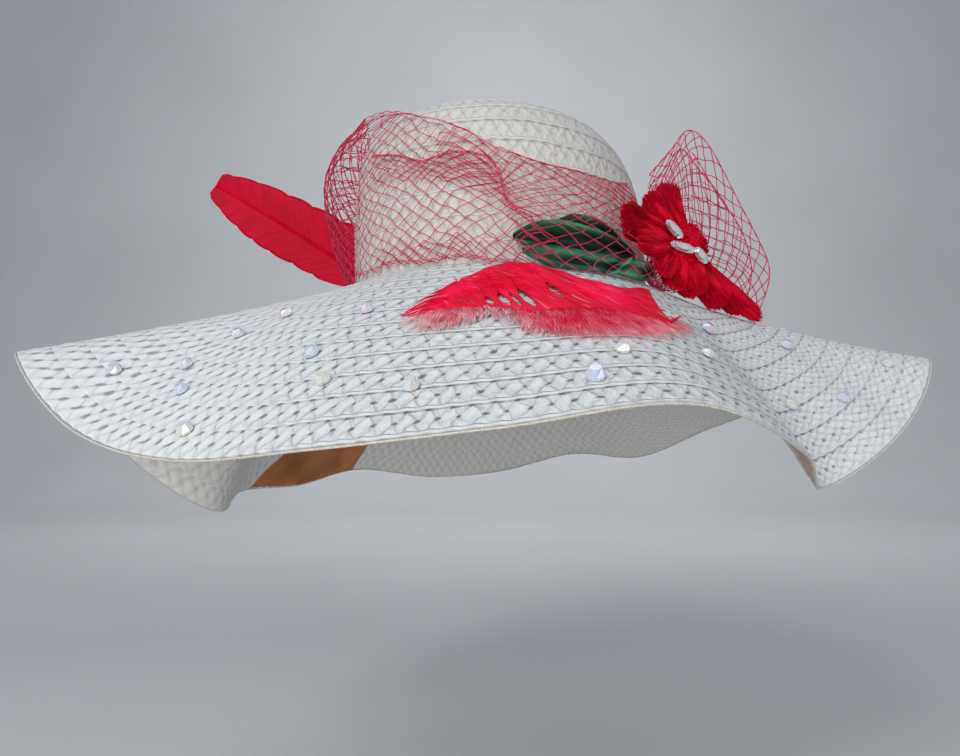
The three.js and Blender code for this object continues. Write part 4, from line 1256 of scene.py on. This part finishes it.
def build_leaf(node, rows):
    along = np.linspace(0, 1, 150)[:, None]
    across = np.linspace(0, 1, 30)[None]
    azimuth, out, bottom, top, arch = rows_at(rows, along)
    fade = np.sin(np.pi * along) ** 0.5
    folds = 0 * along * across
    for place, spread, height, swing in LEAF_FOLDS[node]:
        middle = place + swing * np.sin(5 * along + 7 * place)
        strength = height * (0.8 + 0.3 * np.sin(9 * along + 11 * place))
        folds += strength * np.exp(-((across - middle) / spread) ** 2)
    if node == "leaf_lower":
        turned = along - TURNED_CORNER - 0.15 * (across - 0.15)
        for height, place, spread in CORNER_FOLDS:
            folds += height * np.exp(-((turned - place) / spread) ** 2)
    pleats = np.sin(2 * np.pi * (LEAF_PLEATS * along - 0.9 * across + 0.3 * np.sin(7 * along)))
    rise = arch * folds + 0.3 * fade * pleats + 0.2 * fade * np.sin(23 * along + 9 * across)
    z = mix(bottom, top, across)
    # The tone paints raised folds lighter, hollows darker and each leaf its own shade: painted
    # highlight and shade.
    tone = np.clip(LEAF_SHADE[node] + 0.5 * folds + 0.12 * pleats, 0, 1)
    leaf = slab(on_crown(azimuth, z, out + rise + CLOTH + LEAF_ROOM),
                on_crown(azimuth, z, out + rise + LEAF_ROOM), along * 60, across * 20, tone)
    make_piece(node + "_satin", [leaf], [GREEN_SATIN], [node])


# Stones.

# The aurora coat's hues and pale facets, set by the way each facet faces: the coat's own colour and
# painted reflection.
AURORA = [[linear(*hue) for hue in hues] for hues in (
    [(236, 240, 250), (176, 206, 250), (240, 240, 244), (226, 190, 236)],
    [(240, 240, 240), (244, 232, 176), (236, 240, 246), (190, 232, 220)],
    [(240, 238, 244), (232, 176, 214), (238, 240, 244), (180, 190, 246)],
    [(240, 244, 250), (206, 226, 250), (248, 244, 232), (238, 214, 196)])]
# Bright and dark facets of silver glass: painted reflection.
SILVER_REFLECTIONS = [linear(250, 250, 252), linear(196, 204, 218), linear(250, 250, 250), linear(150, 156, 170)]


def dress_stones():
    """Stones keep their own meshes and get cut glass as their material."""
    crystals = [cut_glass(f"aurora_{k}", hues, 0.35) for k, hues in enumerate(AURORA)]
    silver = cut_glass("silver_glass", SILVER_REFLECTIONS, 0.7)
    for name, node in frame["nodes"].items():
        if name.startswith(("bead_", "gem_")):
            stone = crystals[int(name[-2:]) % len(crystals)] if name.startswith("bead_") else silver
            node.data.materials.clear()
            node.data.materials.append(stone)


# Stage, in metres. The ground runs flat, then up a bend of a quarter turn into a wall.
GROUND_Z = -0.3
GROUND_DEPTH = 2.2
GROUND_BEND = 1.2
GROUND_TOP = 4.0
GROUND_HALF_WIDTH = 4.5


def build_stage():
    shader = Shader("pale_ground", Roughness=0.9)
    tone = shader.noise(shader.add("TexCoord", output="Object"), 2.0, 2.0)
    material = shader.finish(shader.colours(tone, [
        (0.3, linear(206, 207, 209)), (0.7, linear(212, 213, 215))]))
    turn = np.linspace(0.1, 1.57, 14)
    depth = np.concatenate([
        np.linspace(-GROUND_DEPTH, GROUND_DEPTH, 12), GROUND_DEPTH + np.sin(turn) * GROUND_BEND,
        np.full(6, GROUND_DEPTH + GROUND_BEND)])
    height = GROUND_Z + np.concatenate([
        np.zeros(12), GROUND_BEND - np.cos(turn) * GROUND_BEND,
        np.linspace(GROUND_BEND + 0.2, GROUND_TOP, 6)])
    across = np.linspace(-GROUND_HALF_WIDTH, GROUND_HALF_WIDTH, 10)
    points = [(x, y, z) for y, z in zip(depth, height) for x in across]
    wide = len(across)
    faces = [(k, k + 1, k + 1 + wide, k + wide) for row in range(len(depth) - 1)
             for k in range(row * wide, (row + 1) * wide - 1)]
    mesh = bpy.data.meshes.new("ground")
    mesh.from_pydata(points, [], faces)
    mesh.shade_smooth()
    mesh.materials.append(material)
    ground = in_scene("ground", mesh)


# Lights, in metres and watts: name, place, the point it is turned to, size, power and colour.
WORLD_COLOUR = (0.86, 0.92, 1.0, 1)
WORLD_STRENGTH = 0.38
COOL = (0.97, 0.99, 1.0)
WARM = (1.0, 0.98, 0.96)
LIGHTS = [
    ("key", (-0.7, -1.6, 0.95), (0, 0, 0), 0.7, 15.9, COOL),
    ("fill", (1.3, -1.3, 0.4), (0, 0, 0), 1.2, 3.0, WARM),
    ("top", (0.1, 0.5, 1.8), (0, 0, 0), 1.2, 2.5, COOL),
    ("low", (-0.3, -1.4, -0.15), (0, 0, -0.05), 0.8, 7.4, WARM),
    ("back", (0, 1.3, 1.6), (0, 3.6, 0.6), 1.6, 20, (1.0, 1.0, 1.0)),
]


def build_light():
    world = bpy.data.worlds.new("studio")
    world.use_nodes = True
    background = world.node_tree.nodes["Background"]
    background.inputs["Color"].default_value = WORLD_COLOUR
    background.inputs["Strength"].default_value = WORLD_STRENGTH
    bpy.context.scene.world = world
    for name, place, aim, size, power, colour in LIGHTS:
        light = bpy.data.lights.new(name, "AREA")
        light.shape = "DISK"
        light.size = size
        light.energy = power
        light.color = colour
        lamp = in_scene(name, light)
        lamp.location = place
        x, y, z = np.subtract(aim, place)
        lamp.rotation_euler = (math.atan2(math.hypot(x, y), -z), 0, math.atan2(y, x) - math.pi / 2)


# Camera, at the photo's angle.
CAMERA_PLACE = (0.0, -0.46, -0.086)
CAMERA_PITCH = 5.1
CAMERA_YAW = 1.4314
FOCAL_PIXELS = 800.386
FRAME_WIDTH = 960
SENSOR_WIDTH = 36.0


def build_camera():
    camera = bpy.data.cameras.new("camera")
    camera.sensor_width = SENSOR_WIDTH
    camera.lens = FOCAL_PIXELS / FRAME_WIDTH * SENSOR_WIDTH
    camera.clip_start = 0.01
    holder = in_scene("camera", camera)
    holder.location = CAMERA_PLACE
    holder.rotation_euler = (math.radians(90 + CAMERA_PITCH), 0, math.radians(CAMERA_YAW))
    bpy.context.scene.camera = holder


build_camera()
build_light()
build_stage()
build_brim()
build_crown()
build_binding()
build_wrap()
build_puff()
build_fan()
build_left_feather()
build_front_feather()
build_down()
build_tuft()
for leaf_node, leaf_rows in LEAVES.items():
    build_leaf(leaf_node, leaf_rows)
dress_stones()
bpy.context.scene.view_settings.view_transform = "Standard"
